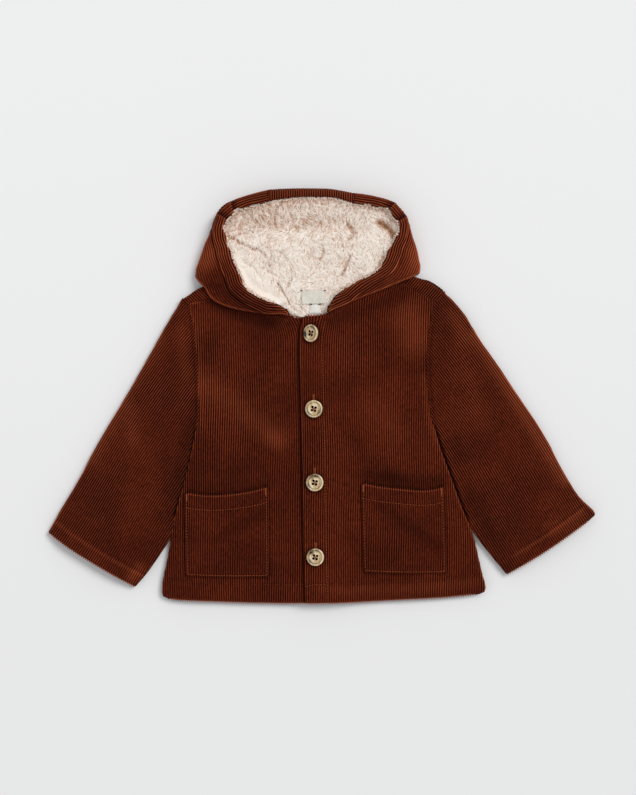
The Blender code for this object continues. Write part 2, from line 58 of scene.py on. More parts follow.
EDGE_ROWS = (0.0, 0.3, 0.8, 1.6, 2.8)  # distances of the first rows from an edge that rolls over
ROLLED = 0.42  # share of an edge's depth that the face has sunk where the turned edge starts
TURN = (  # rings of the turned edge: how far out, share of the depth, how deep the ribs are
    (0.35, 0.6, 1.2),
    (0.25, 0.78, 1.1),
    (-0.3, 0.92, 0.8),
    (-1.6, 1.0, 0.4),
    (-6.0, 1.0, 0.0),
)
TEETH = 1.9  # how far the ribs stand out past the valleys between them at an edge where they end
EDGE_SHADE = 0.3  # painted shade: how much darker the turned edge is coloured at its end, where it turns under


# ---- Reading the CAD solids ------------------------------------------------------------------------------


class Solid:
    """The triangles of some CAD nodes, with shared points merged."""

    FACING = 0.15  # a face is seen from above if its normal rises by more than this
    HIDDEN = 0.1  # and if nothing else is higher over its middle by more than this

    def __init__(self, *names):
        points, faces = [], []
        for name in names:
            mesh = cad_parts[name].data
            start = len(points)
            points += [v.co / MM for v in mesh.vertices]
            faces += [[start + i for i in p.vertices] for p in mesh.polygons]
        self.points, index = np.unique(np.round(np.array(points), 2), axis=0, return_inverse=True)
        self.faces = index.reshape(-1)[np.array(faces)]
        self.tree = BVHTree.FromPolygons(self.points.tolist(), self.faces.tolist())

    def height(self, x, y, above=True):
        """Height of what is seen from above, or from below, with nan beside the solid."""
        start, way = (500.0, Vector((0, 0, -1))) if above else (-500.0, Vector((0, 0, 1)))
        found = np.full(np.shape(x), np.nan)
        for i, (px, py) in enumerate(zip(np.ravel(x), np.ravel(y))):
            place = self.tree.ray_cast(Vector((px, py, start)), way)[0]
            if place is not None:
                found.flat[i] = place.z
        return found

    def loops(self, above=True, over=-1.0):
        """Outlines in plan of the faces seen from above, or from below, counterclockwise, longest first."""
        corners = self.points[self.faces]
        normals = np.cross(corners[:, 1] - corners[:, 0], corners[:, 2] - corners[:, 0])
        size = np.linalg.norm(normals, axis=1) + 1e-12
        facing = (normals[:, 2] if above else -normals[:, 2]) / size > self.FACING
        centres = corners.mean(axis=1)
        seen = self.height(centres[:, 0], centres[:, 1], above)
        facing &= (np.abs(seen - centres[:, 2]) < self.HIDDEN) & (centres[:, 2] > over)
        way = 1 if above else -1
        rings = [self.points[chain, :2][::way] for chain in boundary_chains(self.faces[facing])]
        return sorted(rings, key=lambda ring: -np.linalg.norm(np.diff(ring, axis=0), axis=1).sum())


def boundary_chains(faces):
    """Closed chains of the point numbers along edges that only one face uses."""
    after = {}
    used = set()
    for face in faces:
        for a, b in zip(face, np.roll(face, -1)):
            if a != b:
                used.add((int(a), int(b)))
    for a, b in used:
        if (b, a) not in used:
            after[a] = b
    chains = []
    while after:
        start, here = next(iter(after.items()))
        chain = [start]
        del after[start]
        while here in after:
            chain.append(here)
            here = after.pop(here)
        if len(chain) > 2:
            chains.append(chain)
    return chains


def blurred(grid, cells):
    """The grid smoothed by a bell curve of this spread."""
    reach = int(3 * cells) + 1
    weights = np.exp(-0.5 * (np.arange(-reach, reach + 1) / cells) ** 2)
    weights /= weights.sum()
    for axis in (0, 1):
        padded = np.pad(grid, [(reach, reach) if a == axis else (0, 0) for a in (0, 1)])
        length = grid.shape[axis]
        grid = sum(w * np.take(padded, range(i, i + length), axis=axis) for i, w in enumerate(weights))
    return grid


class HeightMap:
    """A smooth height over the plan, taken from rays on a grid and carried on past the solid's edge."""

    STEP = 2.0
    MARGIN = 14.0
    WIDER = 3  # how much wider the blur is that carries the height on past the edge
    TRUSTED = 0.05  # the near blur counts in full where the solid fills at least this share of it

    def __init__(self, solid, above=True, blur=5.0, over=-1.0):
        self.low = solid.points.min(axis=0)[:2] - self.MARGIN
        high = solid.points.max(axis=0)[:2] + self.MARGIN
        count = np.ceil((high - self.low) / self.STEP).astype(int) + 1
        x, y = np.meshgrid(*[self.low[i] + self.STEP * np.arange(count[i]) for i in (0, 1)])
        z = solid.height(x, y, above)
        z[z < over] = np.nan
        known = ~np.isnan(z)
        filled = np.where(known, z, 0.0)
        spread = blur / self.STEP
        wide = blurred(known * 1.0, self.WIDER * spread)
        far = blurred(filled, self.WIDER * spread) / np.maximum(wide, 1e-9)
        share = blurred(known * 1.0, spread)
        near = blurred(filled, spread) / np.maximum(share, 1e-9)
        trust = np.clip(share / self.TRUSTED, 0, 1)
        self.z = trust * near + (1 - trust) * far

    def at(self, x, y):
        """Height by cubic splines through the grid, without facets."""
        u = (np.asarray(x, float) - self.low[0]) / self.STEP
        v = (np.asarray(y, float) - self.low[1]) / self.STEP
        rows, columns = self.z.shape
        i = np.clip(np.floor(u).astype(int), 1, columns - 3)
        j = np.clip(np.floor(v).astype(int), 1, rows - 3)
        wu, wv = spline_weights(u - i), spline_weights(v - j)
        return sum(wu[a] * wv[b] * self.z[j + b - 1, i + a - 1] for a in range(4) for b in range(4))


def spline_weights(t):
    """The shares of the four grid points round a place in a cubic spline."""
    second = (3 * t**3 - 6 * t**2 + 4) / 6
    third = (-3 * t**3 + 3 * t**2 + 3 * t + 1) / 6
    return (1 - t) ** 3 / 6, second, third, t**3 / 6


# ---- Outlines and plan frames ----------------------------------------------------------------------------


RING_STEP = 1.0  # spacing of an outline's points


def evened(ring, bend=60.0):
    """A closed ring at even steps, on smooth curves between its corners, which it rounds a little.

    A point where the ring turns by more than bend, in degrees, is a corner.
    """
    ring = np.asarray(ring, float)
    ahead = np.roll(ring, -1, axis=0) - ring
    behind = ring - np.roll(ring, 1, axis=0)
    turn = np.abs(np.degrees(np.arctan2(
        behind[:, 0] * ahead[:, 1] - behind[:, 1] * ahead[:, 0], (behind * ahead).sum(axis=1)
    )))
    corners = [i for i in range(len(ring)) if turn[i] > bend] or [0]
    parts = []
    for here, after in zip(corners, corners[1:] + [corners[0] + len(ring)]):
        part = ring[[i % len(ring) for i in range(here, after + 1)]]
        parts.append(along_curve(part, RING_STEP)[:-1])
    even = np.concatenate(parts)
    for _ in range(2):
        even = 0.25 * np.roll(even, 1, axis=0) + 0.5 * even + 0.25 * np.roll(even, -1, axis=0)
    return even


def along_curve(points, step):
    """Points at even steps on a smooth curve through these."""
    length = np.linalg.norm(np.diff(np.asarray(points, float), axis=0), axis=1).sum()
    return on_curve(points, max(2, int(round(length / step)) + 1))


def on_curve(points, count):
    """So many points, evenly along a smooth curve through these."""
    points = np.asarray(points, float)
    at = np.concatenate([[0.0], np.cumsum(np.linalg.norm(np.diff(points, axis=0), axis=1))])
    slopes = np.gradient(points, at, axis=0)
    where = np.linspace(0, at[-1], count)
    span = np.clip(np.searchsorted(at, where, side="right") - 1, 0, len(at) - 2)
    length = (at[span + 1] - at[span])[:, None]
    t = (where[:, None] - at[span][:, None]) / length
    return (
        (2 * t**3 - 3 * t**2 + 1) * points[span]
        + (t**3 - 2 * t**2 + t) * length * slopes[span]
        + (3 * t**2 - 2 * t**3) * points[span + 1]
        + (t**3 - t**2) * length * slopes[span + 1]
    )


def nearest_to(ring, spot):
    """The number of the ring's point nearest to a spot, given as shares of the ring's box."""
    low, high = ring.min(axis=0), ring.max(axis=0)
    return int(np.argmin(((ring - low - np.array(spot) * (high - low)) ** 2).sum(axis=1)))


def squared(ring, spot, reach, sharp=2.4):
    """The ring with the round corner at a spot drawn out towards where its two sides would meet.

    reach is how many points it takes in on each side, and sharp how strongly it is drawn out.
    """
    middle = nearest_to(ring, spot)
    i, j = middle - reach, (middle + reach) % len(ring)
    before, after = ring[i] - ring[i - 3], ring[j] - ring[(j + 3) % len(ring)]
    run = np.linalg.solve(np.column_stack([before, -after]), ring[j] - ring[i])[0]
    corner = ring[i] + run * before
    t = np.linspace(0, 1, 2 * reach + 1)[:, None]
    first, second, third = (1 - t) ** 2, 2 * sharp * t * (1 - t), t**2
    curve = (first * ring[i] + second * corner + third * ring[j]) / (first + second + third)
    ring = ring.copy()
    ring[(i + np.arange(2 * reach + 1)) % len(ring)] = curve
    return ring


def outward_of(ring):
    """The way out of a counterclockwise ring at each of its points."""
    ahead = np.roll(ring, -1, axis=0) - np.roll(ring, 1, axis=0)
    ahead /= np.linalg.norm(ahead, axis=1)[:, None]
    return np.stack([ahead[:, 1], -ahead[:, 0]], axis=1)


class Plan:
    """A panel's outline, in a frame whose second axis runs along its ribs.

    spots are the panel's four corners as shares of its box, counterclockwise from where both axes are low.
    They part the outline into its low, right, high and left sides. angle is the way of the ribs, in degrees
    from X. bend(a, b) says how far the ribs are pushed aside at a place in that frame. grow has one value
    for each side: how far it is pushed out, under a neighbour. sharp lists the spots of corners that are
    drawn out square, each with its reach along the outline.
    """

    SIDES = ("low", "right", "high", "left")
    STRAIGHT = 0.94  # an inset line leaves out the points whose way out differs more from the side's
    NEAR = 3.0  # closer to the outline than this, distance is measured square to it

    def __init__(self, ring, spots, angle, bend=None, grow=None, sharp=()):
        self.ring = evened(ring)
        for spot, reach in sharp:
            self.ring = squared(self.ring, spot, reach)
        turn = math.radians(angle - 90)
        self.axes = np.array([[math.cos(turn), math.sin(turn)], [-math.sin(turn), math.cos(turn)]])
        self.bend = bend or (lambda a, b: 0.0 * a)
        starts = [nearest_to(self.ring, spot) for spot in spots]
        runs = []
        self.side = np.zeros(len(self.ring), int)
        for number, (here, after) in enumerate(zip(starts, starts[1:] + starts[:1])):
            count = (after - here) % len(self.ring)
            runs.append([(here + i) % len(self.ring) for i in range(count + 1)])
            self.side[runs[-1][:-1]] = number
        self.outward = outward_of(self.ring)
        if grow:
            self.ring = self.ring + self.outward * self.per_side(grow, 3.0)[:, None]
            self.outward = outward_of(self.ring)
        self.runs = runs
        bottom, right, top, left = [self.ring[run] @ self.axes.T for run in runs]
        self.bottom = rising(bottom, 0)
        self.top = rising(top[::-1], 0)
        self.right = rising(right, 1)
        self.left = rising(left[::-1], 1)

    def inset(self, side, distance, beyond=0.0):
        """The line that runs inside one side at this distance, and this much beyond its two ends."""
        run = self.runs[self.SIDES.index(side)]
        out = self.outward[run]
        straight = out @ (out.mean(axis=0) / np.linalg.norm(out.mean(axis=0))) > self.STRAIGHT
        line = smoothed((self.ring[run] - distance * out)[straight][::4], 3)
        if beyond:
            first, last = line[0] - line[1], line[-1] - line[-2]
            first = line[0] + beyond * first / np.linalg.norm(first)
            last = line[-1] + beyond * last / np.linalg.norm(last)
            line = np.concatenate([[first], line, [last]])
        return line

    def low(self, a):
        return np.interp(a, self.bottom[:, 0], self.bottom[:, 1])

    def high(self, a):
        return np.interp(a, self.top[:, 0], self.top[:, 1])

    def within(self, a, b):
        """Which places are left of the panel, which are right of it, and a moved between its two sides."""
        first = np.interp(b, self.left[:, 1], self.left[:, 0])
        last = np.interp(b, self.right[:, 1], self.right[:, 0])
        return a <= first, a >= last, np.clip(a, first, last)

    def nearest(self, xy):
        """For each point, its distance from the outline and the number of the outline's nearest point."""
        distance, number = [], []
        for part in np.array_split(xy, max(1, len(xy) // 2000)):
            off = ((part[:, None] - self.ring[None]) ** 2).sum(axis=2)
            best = off.argmin(axis=1)
            number.append(best)
            distance.append(np.sqrt(off[np.arange(len(part)), best]))
        number = np.concatenate(number)
        rough = np.concatenate(distance)
        square = np.abs(((xy - self.ring[number]) * self.outward[number]).sum(axis=1))
        return np.where(rough < self.NEAR, square, rough), number

    def per_side(self, values, blend=7.0):
        """One value for all sides or one for each, eased from side to side over so many points each way.

        A side's value is a number or a function of x and y.
        """
        if isinstance(values, (int, float)):
            values = (values,) * 4
        x, y = self.ring.T
        level = np.array([v(x, y) if callable(v) else np.full(len(x), float(v)) for v in values])
        level = level[self.side, np.arange(len(x))]
        reach = int(blend)
        padded = np.concatenate([level[-reach:], level, level[:reach]])
        return np.convolve(padded, np.ones(2 * reach + 1) / (2 * reach + 1), mode="valid")


def rising(line, axis):
    """The line with one of its coordinates made to rise all the way."""
    line = line.copy()
    line[:, axis] = np.maximum.accumulate(line[:, axis]) + 1e-6 * np.arange(len(line))
    return line


def plan_grid(plan, low_rows, high_rows, row, rib, phases):
    """A grid with columns along the ribs. Gives points in the plan's frame and faces.

    low_rows and high_rows are how far rows lie from those two sides, and row is the spacing between them.
    phases says where across each rib its columns lie.
    """
    outline = plan.ring @ plan.axes.T
    ribs = (outline[:, 0] + plan.bend(outline[:, 0], outline[:, 1])) / rib
    first, last = math.floor(ribs.min()) - 1, math.ceil(ribs.max()) + 1
    columns = np.array([(k + phase) * rib for k in range(first, last) for phase in phases])
    low_rows, high_rows = np.array(low_rows, float), np.array(high_rows, float)[::-1]
    span = (plan.top[:, 1].max() - plan.bottom[:, 1].min()) - low_rows[-1] - high_rows[0]
    middle = max(2, int(round(span / row)))
    a = np.repeat(columns[:, None], len(low_rows) + middle - 1 + len(high_rows), axis=1)
    for _ in range(6):  # the columns' places and the rows' heights depend on each other
        low, high = plan.low(a), plan.high(a)
        tight = np.clip(0.8 * (high - low) / (low_rows[-1] + high_rows[0]), 0.02, 1.0)
        b = np.empty_like(a)
        n = len(low_rows)
        b[:, :n] = low[:, :n] + tight[:, :n] * low_rows
        b[:, n + middle - 1:] = high[:, n + middle - 1:] - tight[:, n + middle - 1:] * high_rows
        share = np.arange(1, middle) / middle
        inner = slice(n, n + middle - 1)
        start = low[:, inner] + tight[:, inner] * low_rows[-1]
        stop = high[:, inner] - tight[:, inner] * high_rows[0]
        b[:, inner] = start + share * (stop - start)
        wanted = columns[:, None] - plan.bend(a, b)
        before, past, a = plan.within(wanted, b)
    number = np.arange(a.size).reshape(a.shape)
    for j in range(a.shape[1]):
        left = np.nonzero(before[:, j])[0]
        if len(left):
            number[: left[-1] + 1, j] = number[left[-1], j]
        right = np.nonzero(past[:, j])[0]
        if len(right):
            number[right[0]:, j] = number[right[0], j]
    quads = np.stack([number[:-1, :-1], number[1:, :-1], number[1:, 1:], number[:-1, 1:]], axis=2)
    return np.stack([a.ravel(), b.ravel()], axis=1), clean_faces(quads.reshape(-1, 4))


def clean_faces(quads):
    """The quads with repeated corners made triangles, and those with fewer corners dropped."""
    faces = []
    for quad in quads.tolist():
        face = [p for i, p in enumerate(quad) if p != quad[i - 1]]
        if len(set(face)) >= 3:
            faces.append(face)
    return faces


# ---- Shells ----------------------------------------------------------------------------------------------


def value_noise(x, y, seed):
    """Smooth noise from 0 to 1 on a lattice of unit cells."""
    table = np.random.default_rng(seed).random((64, 64))
    i, j = np.floor(x).astype(int), np.floor(y).astype(int)
    u, v = x - i, y - j
    u, v = u * u * (3 - 2 * u), v * v * (3 - 2 * v)
    a, b = table[i % 64, j % 64], table[(i + 1) % 64, j % 64]
    c, d = table[i % 64, (j + 1) % 64], table[(i + 1) % 64, (j + 1) % 64]
    return (a * (1 - u) + b * u) * (1 - v) + (c * (1 - u) + d * u) * v


def ripple(x, y):
    """Slow unevenness of cloth that was laid by hand."""
    return (
        0.30 * np.sin(x / 17 + 0.6 * np.sin(y / 31)) * np.sin(y / 23 + 1.1)
        + 0.22 * np.sin(x / 9.5 - y / 27 + 2.0)
        + 0.18 * np.sin(x / 29 + y / 12 + 0.7 * np.sin(x / 19))
    )


def line_distance(x, y, line):
    """Distance in plan from points to a line of straight pieces."""
    best = np.full(np.shape(x), 1e9)
    for (x0, y0), (x1, y1) in zip(line[:-1], line[1:]):
        way = np.array([x1 - x0, y1 - y0])
        length = max(np.hypot(*way), 1e-9)
        run = np.clip(((x - x0) * way[0] + (y - y0) * way[1]) / length, 0, length)
        best = np.minimum(best, np.hypot(x - x0 - run * way[0] / length, y - y0 - run * way[1] / length))
    return best


class Mark:
    """A groove, crease or ridge along a line in plan: half-width, height and painted shade (light below 0).
    """

    def __init__(self, line, half_width, height, shade=0.0):
        self.line = along_curve(line, 4.0) if len(line) > 2 else np.array(line, float)
        self.half_width = half_width
        self.height = height
        self.shade = shade

    def strength(self, x, y):
        return np.exp(-((line_distance(x, y, self.line) / self.half_width) ** 2))


def marked(z, shade, marks, x, y):
    """The height and the shade with these marks worked in."""
    for mark in marks:
        strength = mark.strength(x, y)
        z = z + mark.height * strength
        shade = shade + mark.shade * strength
    return z, shade


def mesh_of(name, points, faces):
    """A mesh of these points, in millimetres, and faces."""
    mesh = bpy.data.meshes.new(name)
    mesh.from_pydata((np.asarray(points) * MM).tolist(), [], faces)
    return mesh


def placed(name, mesh, nodes=()):
    """The mesh as a piece of the coat, in the place of these CAD nodes."""
    piece = bpy.data.objects.new(name, mesh)
    bpy.context.scene.collection.objects.link(piece)
    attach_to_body(piece, "root")
    if nodes:
        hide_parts(*nodes)
    return piece


def attach(mesh, name, kind, values):
    """Gives each point of the mesh a value, for its material."""
    field = {"FLOAT": "value", "FLOAT_VECTOR": "vector"}[kind]
    mesh.attributes.new(name, kind, "POINT").data.foreach_set(field, values.astype(np.float32).ravel())


def points_of(mesh):
    """The mesh's points, in millimetres."""
    flat = np.zeros(len(mesh.vertices) * 3, np.float32)
    mesh.vertices.foreach_get("co", flat)
    return flat.reshape(-1, 3) / MM


class Cloth:
    """Points, faces and weave of one piece of cloth.

    The weave is the rib number, the way along and a shade: painted shade above 0, painted light under it.
    The relief is the share of rib_depth at each point. tone darkens the whole piece with painted shade, or
    lightens it with painted light below 0, and clear says how strongly its ribs show.
    """

    CROWN = 0.8  # under 1, the ribs are broad and the valleys between them narrow
    PATCH = np.array([38, 52])  # size of the patches in which the ribs stand more or less

    def __init__(self, rib_depth=RIB_DEPTH, tone=0.0, clear=1.0):
        self.rib_depth = rib_depth
        self.tone = tone
        self.clear = clear
        self.points, self.weave, self.relief, self.faces = [], [], [], []
        self.count = 0

    def add(self, points, weave, relief, faces):
        self.faces += [[self.count + i for i in face] for face in faces]
        self.points.append(points)
        self.weave.append(weave)
        self.relief.append(relief)
        self.count += len(points)

    def made(self, name, *nodes, material=None, slot="corduroy"):
        """The piece, its ribs raised, in the place of these CAD nodes."""
        points = np.concatenate(self.points)
        weave = np.concatenate(self.weave) + (0.0, 0.0, self.tone)
        relief = np.concatenate(self.relief)
        kept = np.zeros(len(points), bool)
        kept[np.concatenate([np.array(f) for f in self.faces])] = True
        moved = np.cumsum(kept) - 1
        faces = [[int(moved[i]) for i in face] for face in self.faces]
        points, weave, relief = points[kept], weave[kept], relief[kept]
        mesh = mesh_of(name, points, faces)
        mesh.shade_smooth()
        mesh.update()
        normals = np.zeros(len(points) * 3, np.float32)
        mesh.vertex_normals.foreach_get("vector", normals)
        crown = np.abs(np.sin(np.pi * weave[:, 0])) ** self.CROWN
        patches = 0.7 + 0.6 * value_noise(*(points[:, :2] / self.PATCH + 20).T, 41)
        sunk = (crown - 1.0) * self.rib_depth * relief * patches
        points = points + normals.reshape(-1, 3) * sunk[:, None]
        mesh.vertices.foreach_set("co", (points * MM).astype(np.float32).ravel())
        attach(mesh, "weave", "FLOAT_VECTOR", weave)
        attach(mesh, "clear", "FLOAT", patches * self.clear * np.clip(relief, 0.55, 1.0))
        mesh.update()
        mesh.materials.append(material or CORDUROY)
        return placed(name, mesh, nodes)


def add_shell(
    cloth, plan, top, thickness, roll, marks=(), low_rows=EDGE_ROWS, high_rows=EDGE_ROWS, row=ROW,
    phases=RIB_PHASES, rib=RIB, **edge
):
    """A sheet on columns that run along the ribs, its edge turned under as add_turned says."""
    frame_points, faces = plan_grid(plan, low_rows, high_rows, row, rib, phases)
    a, b = frame_points.T
    ribs = (a + plan.bend(a, b)) / RIB
    add_turned(cloth, plan, frame_points @ plan.axes, ribs, b, faces, top, thickness, roll, marks, **edge)


def add_under(cloth, plan, thickness, roll, row):
    """The flat side that a piece lies on, seen only from below and along its edges."""
    add_shell(cloth, plan, lambda x, y: 0.0 * x, thickness, roll, row=row, flip=True)


def add_turned(
    cloth, plan, xy, ribs, along, faces, top, thickness, roll, marks, flip=False, relief=1.0, turn=TURN,
    slope=None, blend=7.0, teeth=0
):
    """The sheet over these points in plan, its edge rolled over and turned under.

    top is a function of x and y. thickness is how deep the edge is, and roll how far in it starts to roll
    over: one value for all sides, or one for each, from the low one round. A flipped sheet lies upside down:
    its top is then how far its face is under the surface, and it is turned over at the end. relief is the
    share of the ribs' depth at each point. turn holds the rings of the turned edge. slope is how many ribs a
    step of 1 mm over the edge crosses, for each point. blend is how far from a corner the depth of the edge
    changes from one side's to the next's. teeth says how much the ribs that end at each side tooth it.
    """
    distance, near = plan.nearest(xy)
    deep = plan.per_side(thickness, blend)
    reach = plan.per_side(roll)
    z, shade = marked(top(*xy.T), np.zeros(len(xy)), marks, *xy.T)
    inside = np.clip(distance / reach[near], 0, 1)
    z = z - ROLLED * deep[near] * (1 - np.sqrt(1 - (1 - inside) ** 2))
    points = np.concatenate([xy, z[:, None]], axis=1)
    chain = np.array(max(boundary_chains(faces), key=len))
    out = plan.outward[near[chain]]
    fall = deep[near[chain]]
    slope_rib = (out @ plan.axes[0]) / RIB if slope is None else slope[chain]
    parts = [points]
    weaves = [np.stack([ribs, along, shade], axis=1)]
    relief = np.ones(len(points)) * relief
    reliefs = [relief]
    tooth = plan.per_side(teeth, 2.0)[near[chain]] * TEETH * (np.sin(np.pi * ribs[chain]) ** 2 - 0.5)
    number, previous, edge, travelled = len(points), chain, points[chain], np.zeros(len(chain))
    for aside, share, ribbed in turn:
        here = points[chain].copy()
        here[:, :2] += out * (aside + tooth * (aside > -1.0))[:, None]
        here[:, 2] -= (share - ROLLED) * fall
        travelled = travelled + np.linalg.norm(here - edge, axis=1)
        parts.append(here)
        # painted shade: the turned edge darkens towards its end
        edge_ribs, edge_shade = ribs[chain] + slope_rib * travelled, shade[chain] + EDGE_SHADE * share
        weaves.append(np.stack([edge_ribs, along[chain] + travelled, edge_shade], axis=1))
        reliefs.append(ribbed * relief[chain])
        new = number + np.arange(len(chain))
        number += len(chain)
        after, before = np.roll(previous, -1), np.roll(new, -1)
        faces = faces + np.stack([after, previous, new, before], axis=1).tolist()
        previous, edge = new, here
    points = np.concatenate(parts)
    if flip:
        points[:, 2] *= -1
        faces = [face[::-1] for face in faces]
    cloth.add(points, np.concatenate(weaves), np.concatenate(reliefs), faces)


# ---- Materials -------------------------------------------------------------------------------------------


class Nodes:
    """Short words for building a material."""

    def __init__(self, name):
        self.material = bpy.data.materials.new(name)
        self.material.use_nodes = True
        self.tree = self.material.node_tree
        self.shader = self.tree.nodes["Principled BSDF"]

    def put(self, kind, **settings):
        node = self.tree.nodes.new(kind)
        for key, value in settings.items():
            setattr(node, key, value)
        return node

    def plug(self, value, socket):
        if isinstance(value, bpy.types.NodeSocket):
            self.tree.links.new(value, socket)
        else:
            socket.default_value = value

    def math(self, operation, a, b=0.0, clamp=False):
        node = self.put("ShaderNodeMath", operation=operation, use_clamp=clamp)
        for value, socket in zip((a, b), node.inputs):
            self.plug(value, socket)
        return node.outputs[0]

    def times(self, a, b, clamp=False):
        return self.math("MULTIPLY", a, b, clamp=clamp)

    def plus(self, a, b, clamp=False):
        return self.math("ADD", a, b, clamp=clamp)

    def ranged(self, value, low, high, to_low=0.0, to_high=1.0):
        node = self.put("ShaderNodeMapRange", interpolation_type="SMOOTHSTEP")
        for given, socket in zip((value, low, high, to_low, to_high), node.inputs):
            self.plug(given, socket)
        return node.outputs[0]

    def mix(self, share, a, b, blend="MIX"):
        node = self.put("ShaderNodeMix", data_type="RGBA", blend_type=blend)
        self.plug(share, node.inputs[0])
        self.plug(a, node.inputs[6])
        self.plug(b, node.inputs[7])
        return node.outputs[2]

    def noise(self, vector, scale, detail=2.0, roughness=0.5):
        node = self.put("ShaderNodeTexNoise")
        self.plug(vector, node.inputs["Vector"])
        self.plug(scale, node.inputs["Scale"])
        self.plug(detail, node.inputs["Detail"])
        self.plug(roughness, node.inputs["Roughness"])
        return node.outputs[0]

    def combine(self, x, y, z=0.0):
        node = self.put("ShaderNodeCombineXYZ")
        for value, socket in zip((x, y, z), node.inputs):
            self.plug(value, socket)
        return node.outputs[0]

    def separate(self, vector):
        node = self.put("ShaderNodeSeparateXYZ")
        self.plug(vector, node.inputs[0])
        return node.outputs

    def attribute(self, name):
        return self.put("ShaderNodeAttribute", attribute_name=name).outputs["Vector"]

    def place(self):
        return self.put("ShaderNodeTexCoord").outputs["Object"]

    def bump(self, height, distance, strength):
        node = self.put("ShaderNodeBump")
        self.plug(height, node.inputs["Height"])
        node.inputs["Distance"].default_value = distance
        node.inputs["Strength"].default_value = strength
        self.tree.links.new(node.outputs[0], self.shader.inputs["Normal"])

    def set(self, **values):
        for name, value in values.items():
            self.plug(value, self.shader.inputs[name.replace("_", " ")])


def colour(red, green, blue):
    """A display colour, 0 to 255, as the linear colour that nodes take."""
    linear = [((c / 255 + 0.055) / 1.055) ** 2.4 if c > 10 else c / 255 / 12.92 for c in (red, green, blue)]
    return (*linear, 1.0)


def corduroy():
    """Pile in ribs: painted shade between them, painted highlights on crests and along edges, a patchy nap.
    """
    n = Nodes("corduroy_cloth")
    rib, along, shade = n.separate(n.attribute("weave"))
    wave = n.math("SINE", n.times(rib, math.pi))
    crown = n.times(wave, wave)
    clear = n.put("ShaderNodeAttribute", attribute_name="clear").outputs["Fac"]
    # painted shade in the valleys between the ribs, and a painted highlight on their crests
    lit = n.ranged(crown, 0.15, 0.92)
    lit = n.plus(0.6, n.times(n.math("SUBTRACT", lit, 0.6), clear), clamp=True)
    crest = n.times(n.ranged(crown, 0.8, 1.0, 0.0, 0.34), clear, clamp=True)
    flecks = n.noise(n.combine(n.times(rib, 1.7), n.times(along, 0.22)), 1.0, 3.0, 0.65)
    tufts = n.noise(n.combine(n.times(rib, 5.0), n.times(along, 1.1)), 1.0, 3.0, 0.65)
    nap = n.noise(n.place(), 21.0, 4.0, 0.6)
    ridge = n.mix(n.ranged(flecks, 0.3, 0.7), colour(68, 19, 7), colour(122, 47, 24))
    base = n.mix(lit, colour(22, 1, 0), ridge)
    base = n.mix(crest, base, colour(164, 86, 56))
    base = n.mix(n.ranged(tufts, 0.35, 0.72, 0.0, 0.5), base, colour(50, 13, 6))
    light = n.ranged(nap, 0.3, 0.7, 0.8, 1.22)
    base = n.mix(1.0, base, n.combine(light, light, light), "MULTIPLY")
    # painted shade where the shade is above 0
    base = n.mix(n.times(shade, 1.0, clamp=True), base, colour(24, 5, 3))
    # painted light where the shade is below 0: on the crests for soft marks, in full for strong lines
    painted_light_share = n.times(shade, n.ranged(crown, 0.25, 0.85, -0.15, -1.2))
    painted_line_light = n.times(n.math("SUBTRACT", n.times(shade, -1.0), 0.75), 2.0, clamp=True)
    painted_light_share = n.math("MAXIMUM", painted_light_share, painted_line_light)
    base = n.mix(n.math("MAXIMUM", painted_light_share, 0.0, clamp=True), base, colour(184, 90, 54))
    n.set(Base_Color=base, Roughness=0.9, Sheen_Weight=0.13, Sheen_Roughness=0.4)
    n.set(Sheen_Tint=(1.0, 0.3, 0.15, 1.0), Specular_IOR_Level=0.03)
    n.bump(n.plus(crown, n.times(tufts, 0.6)), 0.0004, 0.8)
    return n.material


def thread(name, light, dark):
    """Twisted thread, from a light to a dark colour."""
    n = Nodes(name)
    twist = n.noise(n.place(), 2600.0, 2.0, 0.5)
    n.set(Base_Color=n.mix(n.ranged(twist, 0.35, 0.65), dark, light), Roughness=0.8, Specular_IOR_Level=0.1)
    n.bump(twist, 0.0001, 0.6)
    return n.material


def horn():
    """Polished horn, pale and streaky; its shade holds the dark clouds and the groove's painted shade."""
    n = Nodes("horn_polished")
    x, y, shade = n.separate(n.attribute("weave"))
    cloud = n.noise(n.place(), 120.0, 3.0, 0.55)
    streak = n.noise(n.combine(n.times(x, 0.32), n.times(y, 0.1)), 1.0, 3.0, 0.6)
    dark = n.times(shade, n.ranged(cloud, 0.34, 0.6, 0.6, 1.2), clamp=True)
    pale = n.mix(n.ranged(streak, 0.35, 0.68), colour(236, 218, 180), colour(176, 142, 98))
    n.set(Base_Color=n.mix(dark, pale, colour(44, 24, 12)), Roughness=0.38, Specular_IOR_Level=0.3)
    n.set(Coat_Weight=0.1, Coat_Roughness=0.15)
    n.bump(streak, 0.0002, 0.25)
    return n.material


def hole_dark():
    """Painted shade inside a button's holes, where little light comes: near black."""
    n = Nodes("horn_holes")
    grain = n.noise(n.place(), 900.0)
    n.set(Base_Color=n.mix(grain, colour(3, 1, 1), colour(9, 4, 3)), Roughness=1.0, Specular_IOR_Level=0.0)
    return n.material


# ---- The pieces ------------------------------------------------------------------------------------------

SQUARE = ((0, 0), (1, 0), (1, 1), (0, 1))
HEM = 20.0  # depth of the turned hems, where they are stitched down
CUFF_HEM = 17.0
FAN_START = -150.0  # where a sleeve's ribs start to fan, in its plan's second axis
FAN_SPAN = 260.0
GAP_END = -128.0  # Y down to which the sleeves lie close to the body
POCKET_HEM = 15.0
POCKET_SEAM = 1.9
PLACKET = 23.5  # from the front edge to the line that the placket is stitched along
PLACKET_END = 8.0  # X that parts the hem's stitches on the placket from the sunken ones beside it
FRONT_RIGHT_SPOTS = ((0.03, 0), (0.95, 0.03), (0.74, 0.94), (0.02, 0.9))


def seam_mark(line, depth=0.6, shade=0.22):
    """The cloth drawn in along a stitched line, with painted shade in the groove."""
    return Mark(line, 1.2, -depth, shade)


